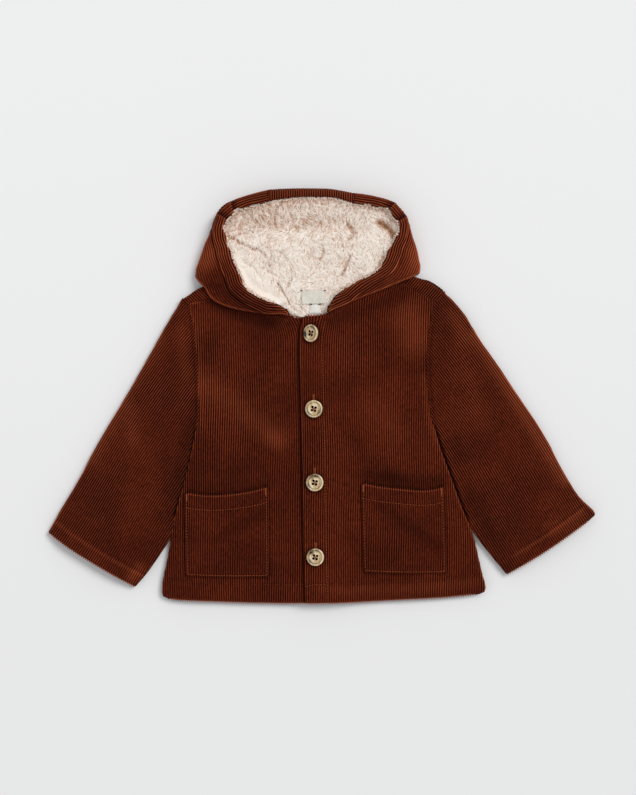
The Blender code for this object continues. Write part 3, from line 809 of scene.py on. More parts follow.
def painted_edge_light(plan, *sides):
    """A painted highlight: a pale line along an edge, where light catches the pile."""
    return [Mark(plan.inset(side, 0.4), 0.8, 0.0, -0.6) for side in sides]


def drift(a, b):
    """How far the ribs wander from straight."""
    return 0.7 * np.sin(b / 47 + a / 60) + 0.5 * np.sin(b / 21 + a / 33 + 1.3)


def pulled(a, b, x, y, reach, high, shift):
    """A shift of the ribs round one place, which sets in over a height in plan."""
    rise = np.clip((b - y) / high, 0, 1)
    return shift * rise * rise * np.exp(-(((a - x) / reach) ** 2))


def make_front(name, node, pocket, spots, thickness, roll, grow, marks, bend, sharp, placket=False):
    """A front with its stitched hem, pressed in round its pocket, and round the buttons on a placket."""
    solid = Solid(node)
    heights = HeightMap(solid)
    plan = Plan(solid.loops()[0], spots, 90.0, lambda a, b: drift(a, b) + bend(a, b), grow, sharp)
    lines = [plan.inset("low", HEM, 6.0)]
    if placket:
        lines.append(plan.inset("left", PLACKET, 4.0))
        # a painted highlight along the placket's edge, and a ring of painted shadow round each button
        marks = [*marks, Mark(plan.inset("left", 0.5), 0.8, 0.0, -0.2), *map(under_button, BUTTONS)]
    pocket_plan = Plan(Solid(pocket).loops()[0], SQUARE, 90.0)
    # painted shadow round the pocket and above its mouth, and painted highlights along the edges
    marks = [
        *marks,
        *[seam_mark(line) for line in lines],
        *painted_edge_light(plan, "low", "high"),
        Mark(plan.inset("right" if placket else "left", 0.5), 0.7, 0.0, -0.4),
        *[Mark(pocket_plan.inset(side, -0.8), 1.0, -0.4, 0.4) for side in ("left", "low", "right")],
        Mark(pocket_plan.inset("high", -1.2), 2.0, -0.7, 0.55),
        Mark(pocket_plan.inset("high", -7.0), 8.0, -0.9, 0.26),
    ]
    cloth = Cloth(clear=0.72)
    add_shell(
        cloth, plan, lambda x, y: heights.at(x, y) + ripple(x, y), thickness, roll, marks,
        low_rows=EDGE_ROWS + rows_about(HEM), teeth=(1.6, 0, 1.2, 0)
    )
    piece = cloth.made(name, node)
    on_placket = placket & (lines[0][:, 0] < PLACKET_END)
    sew(piece, lines[0][~on_placket], 0.2, HEM_STITCHES)
    if placket:
        sew(piece, lines[0][on_placket])
        sew(piece, lines[1], -0.05)


def under_button(node):
    """The cloth pressed down round a button, with a ring of painted shadow."""
    low, high = [np.array(corner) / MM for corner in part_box(node)]
    x, y = ((low + high) / 2)[:2]
    across = (high[0] - low[0]) / 2 + 0.7
    turn = np.linspace(0, math.tau, 25)
    return Mark(np.column_stack([x + across * np.cos(turn), y + 10.0 * np.sin(turn)]), 1.3, -0.4, 0.5)


def rows_about(distance):
    """Rows past the edge's own, up to a line stitched at this distance from it, and close together there."""
    before = tuple(np.linspace(EDGE_ROWS[-1], distance - 2.4, max(2, int(distance / 4)))[1:])
    return before + tuple(distance + d for d in (-1.6, -0.8, 0.0, 0.8, 1.6, 2.6, 4.4))


def make_back():
    """The back, seen only from below and along its edges."""
    spots = ((0.03, 0.01), (0.97, 0.03), (0.88, 0.965), (0.06, 0.935))
    plan = Plan(Solid("back_panel").loops(above=False)[0], spots, 90.0, grow=(-3.2, -0.6, 0, -0.6))
    cloth = Cloth()
    add_under(cloth, plan, 3.0, 2.0, 7.0)
    cloth.made("cloth_back", "back_panel")


def make_shoulder(name, side, spots, angle, grow, marks):
    """The strip of the back that wraps forward over a shoulder, from the front to the shoulder's edge."""
    loops = Solid("back_panel").loops(over=8.0)
    ring = max(loops[:2], key=lambda loop: side * loop[:, 0].mean())
    plan = Plan(ring, spots, angle, grow=grow)
    cloth = Cloth(clear=1.15)
    add_shell(
        cloth, plan, lambda x, y: COAT_TOP.at(x, y) + 0.5 * ripple(x, y), (2.6, 2.6, 7.0, 2.6),
        (1.8, 1.8, 4.0, 1.8), marks, row=2.0
    )
    cloth.made(name, "back_panel")


def make_sleeve(name, node, spots, angle, lean, thickness, roll, grow, marks, gap_top=-12.0, sharp=()):
    """The upper side of the sleeve, and its under side, which lies flat.

    lean is how strongly the ribs fan out towards the shoulder. A dip with painted shadow parts the sleeve
    from the body from gap_top down to GAP_END.
    """
    solid = Solid(node)
    heights = HeightMap(solid)
    ring = solid.loops()[0]

    def bend(a, b):
        return lean * np.clip(b - FAN_START, 0, None) ** 2 / FAN_SPAN + drift(a, b)

    plan = Plan(ring, spots, angle, bend, grow, sharp)
    cuff = plan.inset("low", CUFF_HEM, 5.0)
    outer, inner = ("left", "right") if ring[:, 0].mean() < 0 else ("right", "left")
    gap = plan.inset(inner, 0.6)
    # painted highlights along the free edges and above the cuff's seam, painted shade along the armhole and
    # the gap
    marks = [
        *marks, *painted_edge_light(plan, "low", outer),
        Mark(gap[(gap[:, 1] < gap_top) & (gap[:, 1] > GAP_END)], 1.6, -3.8, 0.95),
        Mark(plan.inset("high", 3.2), 1.4, -0.8, 0.35),
        Mark(plan.inset("low", CUFF_HEM - 2.6, 4.0), 1.7, 0.5, -0.22),
    ]
    cloth = Cloth(clear=0.9)
    add_shell(
        cloth, plan, lambda x, y: heights.at(x, y) + ripple(x + 40, y), thickness, roll,
        [*marks, seam_mark(cuff)], low_rows=EDGE_ROWS + rows_about(CUFF_HEM), teeth=(1, 0, 0, 0)
    )
    add_under(cloth, plan, (5.0, 0.9, 3.0, 0.9), (3.0, 1.0, 1.0, 1.0), 8.0)
    sew(cloth.made(name, node), cuff, 0.32, HEM_STITCHES)


def make_pocket(name, node, marks):
    """A patch pocket, its mouth hemmed and its upper corners tacked."""
    solid = Solid(node)
    heights = HeightMap(solid)
    plan = Plan(solid.loops()[0], SQUARE, 90.0, drift)
    mouth = plan.inset("high", POCKET_HEM)
    lines = [mouth, *[plan.inset(side, POCKET_SEAM) for side in ("left", "low", "right")]]
    # tone: painted shade, the pocket coloured darker than the front it lies on
    cloth = Cloth(tone=0.17, clear=0.62)
    add_shell(
        cloth, plan, lambda x, y: heights.at(x, y) + 0.6 * ripple(x, y), (2.4, 2.4, 3.6, 2.4),
        (1.6, 1.6, 2.2, 1.6),
        [*marks, *painted_edge_light(plan, "high"), *[seam_mark(line, 0.5, 0.16) for line in lines]],
        low_rows=EDGE_ROWS + (3.6, 5.0), high_rows=EDGE_ROWS + rows_about(POCKET_HEM), teeth=(0, 0, 1, 0)
    )
    piece = cloth.made(name, node)
    for line in lines:
        sew(piece, line)
    surface = surface_of(piece)
    for side in (-1, 1):
        x, y = plan.ring[np.argmax(plan.ring[:, 1] + side * plan.ring[:, 0])]
        bar_tack(surface, x - side * POCKET_SEAM, y - 1.2, 7.0, 1.3)


HOOD_PAINTED_LIGHT = -0.12  # painted light: the hood stands higher and is coloured lighter
HOOD_RIB_DEPTH = 0.85
HOOD_CLEAR = 1.4


def make_hood_centre():
    """The strip over the head, between the two sides."""
    solid = Solid("hood_centre")
    heights = HeightMap(solid, blur=2.5, over=9.0)
    plan = Plan(solid.loops(over=9.0)[0], SQUARE, 90.0, grow=(0, 0.7, -0.3, 0.7))
    cloth = Cloth(HOOD_RIB_DEPTH, HOOD_PAINTED_LIGHT, HOOD_CLEAR)
    back = plan.ring[:, 1].max()

    def seam_deep(x, y):
        return np.where(y > back - 7.0, heights.at(x, y), 1.2)

    add_shell(
        cloth, plan, lambda x, y: heights.at(x, y) + 0.7 + 0.5 * ripple(x, y),
        (8.0, seam_deep, heights.at, seam_deep), (2.6, 0.9, 5.0, 0.9), row=1.5, turn=HOOD_TURN, blend=1.0
    )
    low = plan.ring[plan.runs[0]][::-1]
    RIMS.append(np.column_stack([low, heights.at(*low.T)]))
    add_hood_under(cloth, solid, SQUARE)
    cloth.made("cloth_hood_centre", "hood_centre")


def add_hood_under(cloth, solid, spots):
    """The part of a hood panel that the hood lies on."""
    add_under(cloth, Plan(solid.loops(above=False)[0], spots, 90.0), 2.0, 1.5, 7.0)


BAND = (12.0, 18.0)  # width of the hood's turned band at the top and at the neck
HOOD_TURN = tuple(  # rings close enough for the ribs that run round the hood to be round on its walls too
    (0.5 * math.sin(3.0 * (share - 0.44)), share, 1.0) for share in np.linspace(0.47, 1.0, 22)
) + ((-1.6, 1.0, 0.4), (-6.0, 1.0, 0.0))
RIMS = []  # the hood's inner edges, for the pile that curls over them
OUTER_ROLL = 4.5  # how far in the hood's outer edge starts to roll over
RIM_STEP = 1.1  # spacing of the hood's points along the rim
ACROSS_STEP = 0.4  # and across it
RIM_HEIGHT = 8.0  # how deep the hood's edge is at most at the rim
TIP_REACH = 2.8  # how far round the tip of the flap its edge is drawn out
END_TAPER = (0.6, 7.0)  # how much narrower the flap is at its end, and over what length


def span(ring, start, stop):
    """The shorter way along the ring between the points nearest to two spots of its box."""
    i, j = nearest_to(ring, start), nearest_to(ring, stop)
    ahead = [(i + k) % len(ring) for k in range((j - i) % len(ring) + 1)]
    back = [(i - k) % len(ring) for k in range((i - j) % len(ring) + 1)]
    return ring[ahead if len(ahead) < len(back) else back]


def folded(line, corners, ease=5):
    """The line made straight from corner to corner, as a rim is between its folds, and eased in and out."""
    line = line.copy()
    at = [int(np.argmin(np.linalg.norm(line - corner, axis=1))) for corner in corners]
    step = 1 if at[-1] > at[0] else -1
    for (first, start), (last, stop) in zip(zip(at, corners), list(zip(at, corners))[1:]):
        chord = np.linspace(start, stop, abs(last - first) + 1)
        line[np.arange(first, last + step, step)] = chord
    for end, way in ((at[0], -step), (at[-1], step)):
        shift = line[end] - (2 * line[end + way] - line[end + 2 * way])
        for k in range(1, ease):
            line[end + way * k] += shift * (1 - k / ease)
    return line


def fold_marks(start, stop, lit):
    """A fold's marks on the rim: a sharp crease, painted light on one facet and painted shade on the other.
    """
    start, stop, lit = np.array(start, float), np.array(stop, float), np.array(lit, float)
    lit = lit / np.linalg.norm(lit)
    return [
        Mark([start - 1.0 * lit, stop - 1.0 * lit], 1.1, -1.5, 0.7),
        Mark([start - 2.6 * lit, stop - 3.2 * lit], 2.6, -0.7, 0.5),
        Mark([start + 1.0 * lit, stop + 1.0 * lit], 0.9, 0.7, -0.45),
    ]


def smoothed(line, times):
    """The line with its kinks eased and its ends kept."""
    line = line.copy()
    for _ in range(times):
        line[1:-1] = 0.25 * line[:-2] + 0.5 * line[1:-1] + 0.25 * line[2:]
    return line


def hood_edges(side, flap, side_spots, flap_spots, tip, folds):
    """The inner and the outer edge of a side of the hood, from the seam with the middle to the flap's end.

    Gives the way from the outer to the inner edge and the width between them, too.
    """
    inner, outer = [], []
    for ring, spots in ((side.loops(over=9.0)[0], side_spots), (flap.loops()[0], flap_spots)):
        ring = evened(ring, bend=50.0)
        edges = [span(ring, spots[0], spots[2]), span(ring, spots[1], spots[3])]
        count = int(len(edges[0]) / RIM_STEP)
        inner.append(on_curve(edges[0], count))
        outer.append(on_curve(edges[1], count))
    inner = folded(smoothed(np.concatenate(inner), 10), [stop for _, stop in folds])
    outer = folded(smoothed(np.concatenate(outer), 4), [start for start, _ in folds])
    from_tip = np.linalg.norm(outer - tip, axis=1)
    nearest = outer[from_tip.argmin()]
    drawn = np.exp(-((np.linalg.norm(outer - nearest, axis=1) / TIP_REACH) ** 2))
    outer = outer + (tip - nearest) * drawn[:, None]
    to_end = np.arange(len(inner))[::-1] * RIM_STEP
    narrower, reach = END_TAPER
    outer = outer + narrower * (inner - outer) * np.exp(-((to_end / reach) ** 2))[:, None]
    width = np.linalg.norm(outer - inner, axis=1)
    inward = (inner - outer) / width[:, None]
    step = np.arange(len(inner))
    scallop = 1.3 * np.abs(np.sin(step / 5.4 + 0.9 * np.sin(step / 13)))
    scallop = scallop + 0.4 * np.sin(step / 3.1 + 1.0) - 0.7
    inner = inner + inward * (scallop * np.clip(np.minimum(step, step[::-1]) / 6, 0, 1))[:, None]
    return inner, outer, inward, width


def make_hood_side(
    name, side_node, flap_node, side_spots, flap_spots, under_spots, tip, folds, seam_shade, marks
):
    """A side of the hood with its front corner, from the seam with the middle down to the neck.

    The spots are shares of each solid's box in plan: the inner and the outer edge's first point, then their
    last. tip is the point of the outer edge that is drawn out to a corner. folds holds the ends of the rim's
    folds on the outer and the inner edge. seam_shade is the painted shadow outside the band's seam.
    """
    side, flap = Solid(side_node), Solid(flap_node)
    heights = HeightMap(Solid(side_node, flap_node), blur=2.5, over=9.0)
    under = HeightMap(flap, above=False, blur=4.0)
    inner, outer, inward, width = hood_edges(side, flap, side_spots, flap_spots, tip, folds)
    length = len(inner)
    band = np.minimum(np.linspace(*BAND, length) / width, 1.0)
    seam = inner + band[:, None] * (outer - inner)
    across = int(width.max() / ACROSS_STEP)
    t = np.linspace(0, 1, across)
    xy = (inner[:, None] + t[None, :, None] * (outer - inner)[:, None]).reshape(-1, 2)
    off = line_distance(xy[:, 0], xy[:, 1], seam[::3])
    off = np.where((t[None, :] > band[:, None]).ravel(), off, -off)
    way = np.concatenate([[0.0], np.cumsum(np.linalg.norm(np.diff(seam, axis=0), axis=1))])
    number = np.arange(length * across).reshape(length, across)
    quads = np.stack([number[:-1, :-1], number[:-1, 1:], number[1:, 1:], number[1:, :-1]], axis=2)
    quads = quads.reshape(-1, 4)
    on_left = inner[0, 0] < 0
    first, last = (outer, inner) if on_left else (inner, outer)
    ring = np.concatenate([first, last[::-1]])
    faces = (quads[:, ::-1] if on_left else quads).tolist()
    low, high = ring.min(axis=0), ring.max(axis=0)
    ends = (first[0], first[-1], last[-1], last[0])
    plan = Plan(ring, [tuple((end - low) / (high - low)) for end in ends], 90.0)

    def deep(x, y):
        flap_share = np.clip((flap.points[:, 1].max() + 1.0 - y) / 6.0, 0, 1)
        return heights.at(x, y) - flap_share * under.at(x, y)

    def rim_deep(x, y):
        return np.minimum(deep(x, y), RIM_HEIGHT)

    def seam_deep(x, y):
        return np.where(np.hypot(x - outer[0, 0], y - outer[0, 1]) < 6.0, deep(x, y), 2.0)

    bulge = np.where(off < 0, 0.9 * np.sin(math.pi * np.clip(-off / BAND[1], 0, 1)), 0.0)
    fold = 0.9 * np.exp(-(((off + 1.3) / 1.1) ** 2)) - 1.3 * np.exp(-(((off - 0.4) / 0.8) ** 2))
    fold = fold * np.repeat(np.clip((1.0 - band) / 0.15, 0, 1), across)
    profile = heights.at(xy[:, 0], xy[:, 1]) + bulge + fold + 0.6 * ripple(xy[:, 0], xy[:, 1])
    thickness, roll = (deep, 2.0, rim_deep, seam_deep), (OUTER_ROLL, 1.2, 3.0, 1.2)
    if not on_left:
        thickness, roll = (rim_deep, 2.0, deep, seam_deep), (3.0, 1.2, OUTER_ROLL, 1.2)
    shown = band < 0.97  # where the band's seam isn't at the outer edge
    # painted shadow outside the band's seam, painted highlights inside it and along the inner and outer
    # edges
    marks = [
        *marks,
        Mark((seam[shown] - 1.1 * inward[shown])[::4], 1.0, 0.0, seam_shade),
        Mark((seam[shown] + 0.4 * inward[shown])[::4], 0.6, 0.0, -1.15),
        Mark((inner - 0.6 * inward)[::4], 0.8, 0.0, -0.3),
        Mark((outer + 0.5 * inward)[::4], 0.8, 0.0, -0.8),
    ]
    for here, after in zip(folds, folds[1:]):
        marks += fold_marks(*here, np.subtract(after[0], here[0]))
    RIMS.append(np.column_stack([inner, heights.at(*inner.T)])[: int(0.9 * length)])
    cloth = Cloth(HOOD_RIB_DEPTH, HOOD_PAINTED_LIGHT, HOOD_CLEAR)
    along = np.repeat(way, across)
    to_outer = line_distance(*xy.T, outer[::4])
    wander = 0.5 * (value_noise(along / 17 + 40, off / 9 + 40, 13) - 0.5) + 0.12 * np.sin(along / 4.6)
    roll_angle = np.arcsin(np.clip(1 - to_outer / OUTER_ROLL, 0, 1))
    level, fall = OUTER_ROLL * np.sin(roll_angle), ROLLED * deep(*xy.T) * (1 - np.cos(roll_angle))
    over_edge = np.hypot(level, fall) * (1 + 0.11 * (roll_angle / 1.57) ** 2) - level
    relief = np.clip(0.95 - off / 5.0, 0.55, 1.25) * np.clip(to_outer / 4.0, 0.5, 1.0)
    slope = np.tile(np.sign(np.round(t * 2 - 1)), length) / RIB
    ribs = (off + over_edge) / RIB + 0.5 + wander
    add_turned(
        cloth, plan, xy, ribs, along, faces, lambda x, y: profile, thickness, roll, marks, relief=relief,
        turn=HOOD_TURN, slope=slope, blend=1.0
    )
    add_hood_under(cloth, side, under_spots)
    cloth.made(name, side_node, flap_node)


# ---- Pile ------------------------------------------------------------------------------------------------

PILE_STEP = 0.8
PILE_UNDER = 5.0  # how far the pile runs on under what covers its edge
COVER_GAP = 3.6  # from the top of the cloth over that edge down to the pile
RIM_GAP = 4.0  # from the top of the hood's rim down to where the pile climbs
LOCKS = 5200
STRANDS = 3  # to a lock
STRAND_POINTS = 4
LINING_SPOTS = ((0.385, 0.02), (0.59, 0.03), (0.958, 0.83), (0.02, 0.81))
HOOD_MIDDLE = (-10.0, 150.0)


def clumps(x, y, size, seed):
    """Rounded lumps, 1 in the middle of each and low between them."""
    warp = 0.7 * size
    x = x + warp * (value_noise(x / (2 * size), y / (2 * size), seed + 1) - 0.5)
    y = y + warp * (value_noise(x / (2 * size) + 9, y / (2 * size) + 5, seed + 2) - 0.5)
    table = np.random.default_rng(seed).random((64, 64, 2))
    i, j = np.floor(x / size).astype(int), np.floor(y / size).astype(int)
    best = np.full(x.shape, 9.0)
    for di in (-1, 0, 1):
        for dj in (-1, 0, 1):
            spot = table[(i + di) % 64, (j + dj) % 64]
            off = np.hypot(x / size - (i + di + spot[..., 0]), y / size - (j + dj + spot[..., 1]))
            best = np.minimum(best, off)
    return 1 - np.clip(best, 0, 1) ** 2


PILE_MARKS = [  # the folds of the lining, with painted shade in their creases and painted light on their lobes
    Mark([(-98, 176), (-60, 180), (-20, 178), (20, 179), (44, 176)], 8.0, -2.6, 0.2),
    Mark([(-100, 196), (-50, 200), (0, 204), (60, 200)], 16.0, 0.0, 0.2),
    Mark([(-47, 196), (-48, 184), (-46, 173)], 1.3, -1.4, 0.3),
    Mark([(-98, 168), (-82, 158.5), (-68, 152)], 1.5, -2.0, 0.42),
    Mark([(-99, 160), (-88, 168), (-78, 170)], 1.2, -1.2, 0.25),
    Mark([(-66, 153), (-55, 142), (-53, 128)], 1.6, -1.3, 0.22),
    Mark([(-42, 150), (-34, 140), (-31, 122), (-36, 112)], 1.8, -1.2, 0.2),
    Mark([(51, 178), (58, 160), (56, 140)], 17.0, 2.2, -0.06),
    Mark([(29, 178), (34, 170), (30, 163)], 2.2, -2.6, 0.4),
    Mark([(62, 181), (70, 176), (77, 166), (80, 158)], 3.4, -3.2, 0.95),
    Mark([(76, 152), (62, 128), (40, 104)], 2.6, -0.8, 0.5),
    Mark([(22, 126), (27, 136), (31, 146)], 1.6, -2.0, 0.35),
    Mark([(2, 158), (3, 149), (-1, 142)], 1.3, -1.5, 0.3),
    Mark([(-14, 168), (-6, 160), (2, 163)], 1.3, -1.2, 0.2),
    Mark([(66, 146), (60, 132), (48, 122)], 2.0, -1.4, 0.25),
    Mark([(-72, 128), (-56, 112), (-42, 98)], 8.0, 1.2, -0.12),
    Mark([(-45, 118), (-38, 106), (-33, 96)], 1.4, -1.6, 0.3),
    Mark([(-80, 140), (-66, 128), (-60, 116)], 1.4, -0.9, 0.15),
]
SMOOTH_STRIP = Mark([(-90, 142), (-72, 121), (-46, 100)], 6.5, 0.0)  # where the pile lies flat
COVERS = (
    "front_left", "front_right", "hood_centre", "hood_side_left", "hood_side_right", "hood_flap_left",
    "hood_flap_right",
)
COVERS_OVER = 9.0  # only what is higher than this presses the pile down


def flatness(x, y):
    """How flat the pile lies, from 0 to 1 on the smooth strip."""
    return np.clip(1.3 * SMOOTH_STRIP.strength(x, y), 0, 1)


def nearest_rim(x, y):
    """The distance of the hood's rim and its height there."""
    rim = np.concatenate(RIMS)[::3]
    distance, height = [], []
    for px, py in zip(np.array_split(x, 40), np.array_split(y, 40)):
        off = (px[:, None] - rim[:, 0]) ** 2 + (py[:, None] - rim[:, 1]) ** 2
        distance.append(np.sqrt(off.min(axis=1)))
        height.append(rim[off.argmin(axis=1), 2])
    return np.concatenate(distance), np.concatenate(height)


def pile_height(base, covers, x, y):
    """Height of the pile and its painted shade: lumps of curls in the hood's folds, climbing to its rim."""
    flat = flatness(x, y)
    lumps, curls = clumps(x, y, 8.5, 11), clumps(x, y, 3.4, 23)
    lumps, curls = lumps + flat * (0.9 - lumps), curls + flat * (0.9 - curls)
    z = base.at(x, y) + 1.6 * (value_noise(x / 24 + 3, y / 19 + 8, 5) - 0.5)
    z = z + 1.0 * lumps + 0.45 * curls - 0.8
    distance, rim = nearest_rim(x, y)
    climb = np.clip(1 - (distance - 1.0) / 9.0, 0, 1) ** 2
    z = z + climb * np.clip(rim - RIM_GAP - z, 0, None)
    # painted shade: darker between the lumps, and up by the rim, in its shadow
    shade = 0.24 - 0.14 * lumps - 0.08 * curls + 0.3 * climb
    z, shade = marked(z, shade, PILE_MARKS, x, y)
    over = covers.height(x, y)
    z = np.where(over > COVERS_OVER, np.minimum(z, over - COVER_GAP), z)
    return z, np.clip(shade - 0.1 * flat, 0, 1.4)


def make_lining():
    """The pile inside the hood: a lumpy sheet with curled locks standing on it."""
    solid = Solid("hood_lining")
    base = HeightMap(solid, blur=4.0)
    covers = Solid(*COVERS)
    plan = Plan(solid.loops()[0], LINING_SPOTS, 90.0, grow=(PILE_UNDER, PILE_UNDER, 3.4, PILE_UNDER))
    frame_points, faces = plan_grid(plan, (0.0, 1.0), (0.0, 1.0), PILE_STEP, PILE_STEP, (0.0,))
    x, y = frame_points.T
    z, shade = pile_height(base, covers, x, y)
    # painted shade: the sheet shows only in the gaps between the locks
    shade = shade + 0.25 * (1 - flatness(x, y))  # darker than the locks that stand on it
    cloth = Cloth(rib_depth=0.0)
    cloth.add(np.stack([x, y, z], axis=1), np.stack([x, y, shade], axis=1), np.zeros(len(x)), faces)
    cloth.made("pile_lining", "hood_lining", material=PILE, slot="pile")
    make_locks(plan, base, covers)
    make_rim_locks()


def bent_strands(roots, ways, lengths, curls):
    """Lines in plan from these roots: each starts off its own way and turns as it goes."""
    t = np.linspace(0, 1, STRAND_POINTS)
    turn = curls[:, None] * t[None, :]
    cos, sin = np.cos(turn), np.sin(turn)
    x, y = ways[:, :1], ways[:, 1:]
    bent = np.stack([x * cos - y * sin, x * sin + y * cos], axis=2)
    return roots[:, None] + bent * (lengths[:, None] * t[None, :])[:, :, None]


def add_strands(cloth, lines, z, tones, wide):
    """Tapered ribbons along these lines, each with a raised middle."""
    points = np.concatenate([lines, z[..., None]], axis=2)
    t = np.linspace(0, 1, STRAND_POINTS)
    along = np.gradient(points, axis=1)
    side = np.stack([-along[..., 1], along[..., 0], 0 * along[..., 2]], axis=2)
    side /= np.linalg.norm(side, axis=2)[..., None] + 1e-9
    breadth = (wide * np.array([0.6, 1.0, 0.8, 0.15]))[None, :, None]
    crest = points + np.array([0, 0, 0.22]) * (1 - 0.6 * t)[None, :, None]
    strip = np.stack([points - side * breadth, crest, points + side * breadth], axis=2)
    number = np.arange(strip[..., 0].size).reshape(strip.shape[:3])
    quads = np.stack([
        number[:, :-1, :-1], number[:, :-1, 1:], number[:, 1:, 1:], number[:, 1:, :-1]
    ], axis=3).reshape(-1, 4)
    flat = strip.reshape(-1, 3)
    weave = np.column_stack([flat[:, :2], np.repeat(tones.reshape(-1), 3)])
    cloth.add(flat, weave, np.zeros(len(flat)), quads[:, ::-1].tolist())


def make_locks(plan, base, covers):
    """Locks of the pile, each of strands side by side that bend the same way."""
    rng = np.random.default_rng(7)
    low, high = plan.ring.min(axis=0), plan.ring.max(axis=0)
    spots = low + rng.random((LOCKS * 4, 2)) * (high - low)
    x, y = spots.T
    good = (np.abs(plan.within(x, y)[2] - x) < 1e-6) & (y < plan.high(x)) & (y > plan.low(x))
    good &= plan.nearest(spots)[0] > PILE_UNDER - 1.0
    spots = spots[good][:LOCKS]
    x, y = spots.T
    flow = -1.57 + 3.0 * (value_noise(x / 19, y / 19, 31) - 0.5) + rng.normal(0, 0.2, len(spots))
    beside = 0.45 * np.column_stack([-np.sin(flow), np.cos(flow)])
    roots = np.concatenate([spots + k * beside for k in (-1, 0, 1)])
    flat = flatness(x, y)
    curl, length = rng.normal(0, 0.4, len(spots)), rng.uniform(4.0, 7.5, len(spots))
    tone, rise = rng.normal(0, 0.07, len(spots)), rng.uniform(0.4, 1.0, len(spots)) * (1 - 0.75 * flat)
    lively = 1 - 0.8 * flat
    flow, curl, length, tone, rise, lively = [
        np.tile(v, STRANDS) for v in (flow, curl, length, tone, rise, lively)
    ]
    count = len(roots)
    flow = flow + rng.normal(0, 0.09, count)
    lines = bent_strands(roots, np.column_stack([np.cos(flow), np.sin(flow)]), length, curl)
    z, shade = pile_height(base, covers, lines[..., 0].ravel(), lines[..., 1].ravel())
    t = np.linspace(0, 1, STRAND_POINTS)
    z = z.reshape(count, -1) + rise[:, None] * np.sin(2.4 * t)[None, :] - 0.15
    # painted shade: a few strands dark, for the shaded partings, and each strand darker at its root
    brown = 0.45 * (rng.random(count) < 0.08)
    own = (tone + brown + rng.normal(0, 0.05, count) + 0.2) * lively
    tones = shade.reshape(count, -1) + own[:, None] - 0.34 * t[None, :] * lively[:, None]
    cloth = Cloth(rib_depth=0.0)
    add_strands(cloth, lines, z, tones, 0.33)
    cloth.made("pile_locks", "hood_lining", material=PILE, slot="pile")


def make_rim_locks():
    """Short curls of the pile that come out over the hood's inner edge."""
    rng = np.random.default_rng(19)
    cloth = Cloth(rib_depth=0.0)
    t = np.linspace(0, 1, STRAND_POINTS)
    for rim in RIMS:
        line = along_curve(rim[::3], 0.5)
        ahead = np.gradient(line[:, :2], axis=0)
        ahead /= np.linalg.norm(ahead, axis=1)[:, None]
        count = len(line)
        inward = np.column_stack([-ahead[:, 1], ahead[:, 0]])
        inward *= np.sign(((HOOD_MIDDLE - line[:, :2]) * inward).sum(axis=1))[:, None]
        tuft = value_noise(np.arange(count) / 9.0, np.full(count, line[0, 0]), 3)[:, None]
        roots = line[:, :2] + inward * rng.uniform(1.4, 3.4, (count, 1))
        ways = -inward * rng.uniform(0.3, 1.1, (count, 1)) + ahead * rng.normal(0, 0.8, (count, 1))
        ways /= np.linalg.norm(ways, axis=1)[:, None]
        lengths = rng.uniform(1.8, 2.8, count) + 1.2 * tuft[:, 0]
        lines = bent_strands(roots, ways, lengths, rng.normal(0, 0.6, count))
        z = line[:, 2:] - RIM_GAP - 0.6 + (1.9 + 0.7 * tuft) * np.sin(1.9 * t)[None, :]
        # painted shade: the curls dark at their roots, down by the rim
        tones = np.clip(0.6 - 0.5 * t, 0, 1)[None, :] + rng.normal(0, 0.08, (count, 1))
        add_strands(cloth, lines, z, tones, 0.42)
    cloth.made("pile_rim", "hood_lining", material=PILE, slot="pile")


def pile():
    """Fleece, cream, with painted shade from a light brown in its hollows to a deep one in its partings."""
    n = Nodes("pile_fleece")
    _, _, shade = n.separate(n.attribute("weave"))
    fine = n.noise(n.place(), 600.0, 3.0, 0.6)
    broad = n.noise(n.place(), 34.0, 2.0, 0.5)
    tone = n.plus(shade, n.ranged(fine, 0.3, 0.7, -0.12, 0.12))
    tone = n.plus(tone, n.ranged(broad, 0.35, 0.65, -0.04, 0.06))
    base = n.mix(n.ranged(tone, 0.0, 0.85), colour(251, 240, 228), colour(184, 136, 104))
    base = n.mix(n.ranged(tone, 0.8, 1.35), base, colour(98, 78, 62))
    n.set(Base_Color=base, Roughness=0.9, Sheen_Weight=0.25, Sheen_Roughness=0.5)
    n.set(Specular_IOR_Level=0.1)
    n.bump(fine, 0.0005, 0.5)
    return n.material


# ---- Labels ----------------------------------------------------------------------------------------------


def woven(name, light, dark):
    """A fine plain weave, a little uneven in colour."""
    n = Nodes(name)
    x, y, _ = n.separate(n.place())
    warp = n.math("SINE", n.times(x, 2 * math.pi / 0.0006))
    weft = n.math("SINE", n.times(y, 2 * math.pi / 0.0005))
    weave = n.times(warp, weft)
    dirt = n.noise(n.place(), 180.0, 3.0, 0.5)
    share = n.plus(n.ranged(weave, -1.0, 1.0, 0.0, 0.5), n.ranged(dirt, 0.3, 0.7, 0.0, 0.4))
    n.set(Base_Color=n.mix(share, light, dark), Roughness=0.7, Sheen_Weight=0.2, Specular_IOR_Level=0.25)
    n.bump(weave, 0.00008, 0.7)
    return n.material


LABEL_TURN = ((0.1, 0.7, 0), (0.0, 1.0, 0), (-0.9, 1.0, 0))


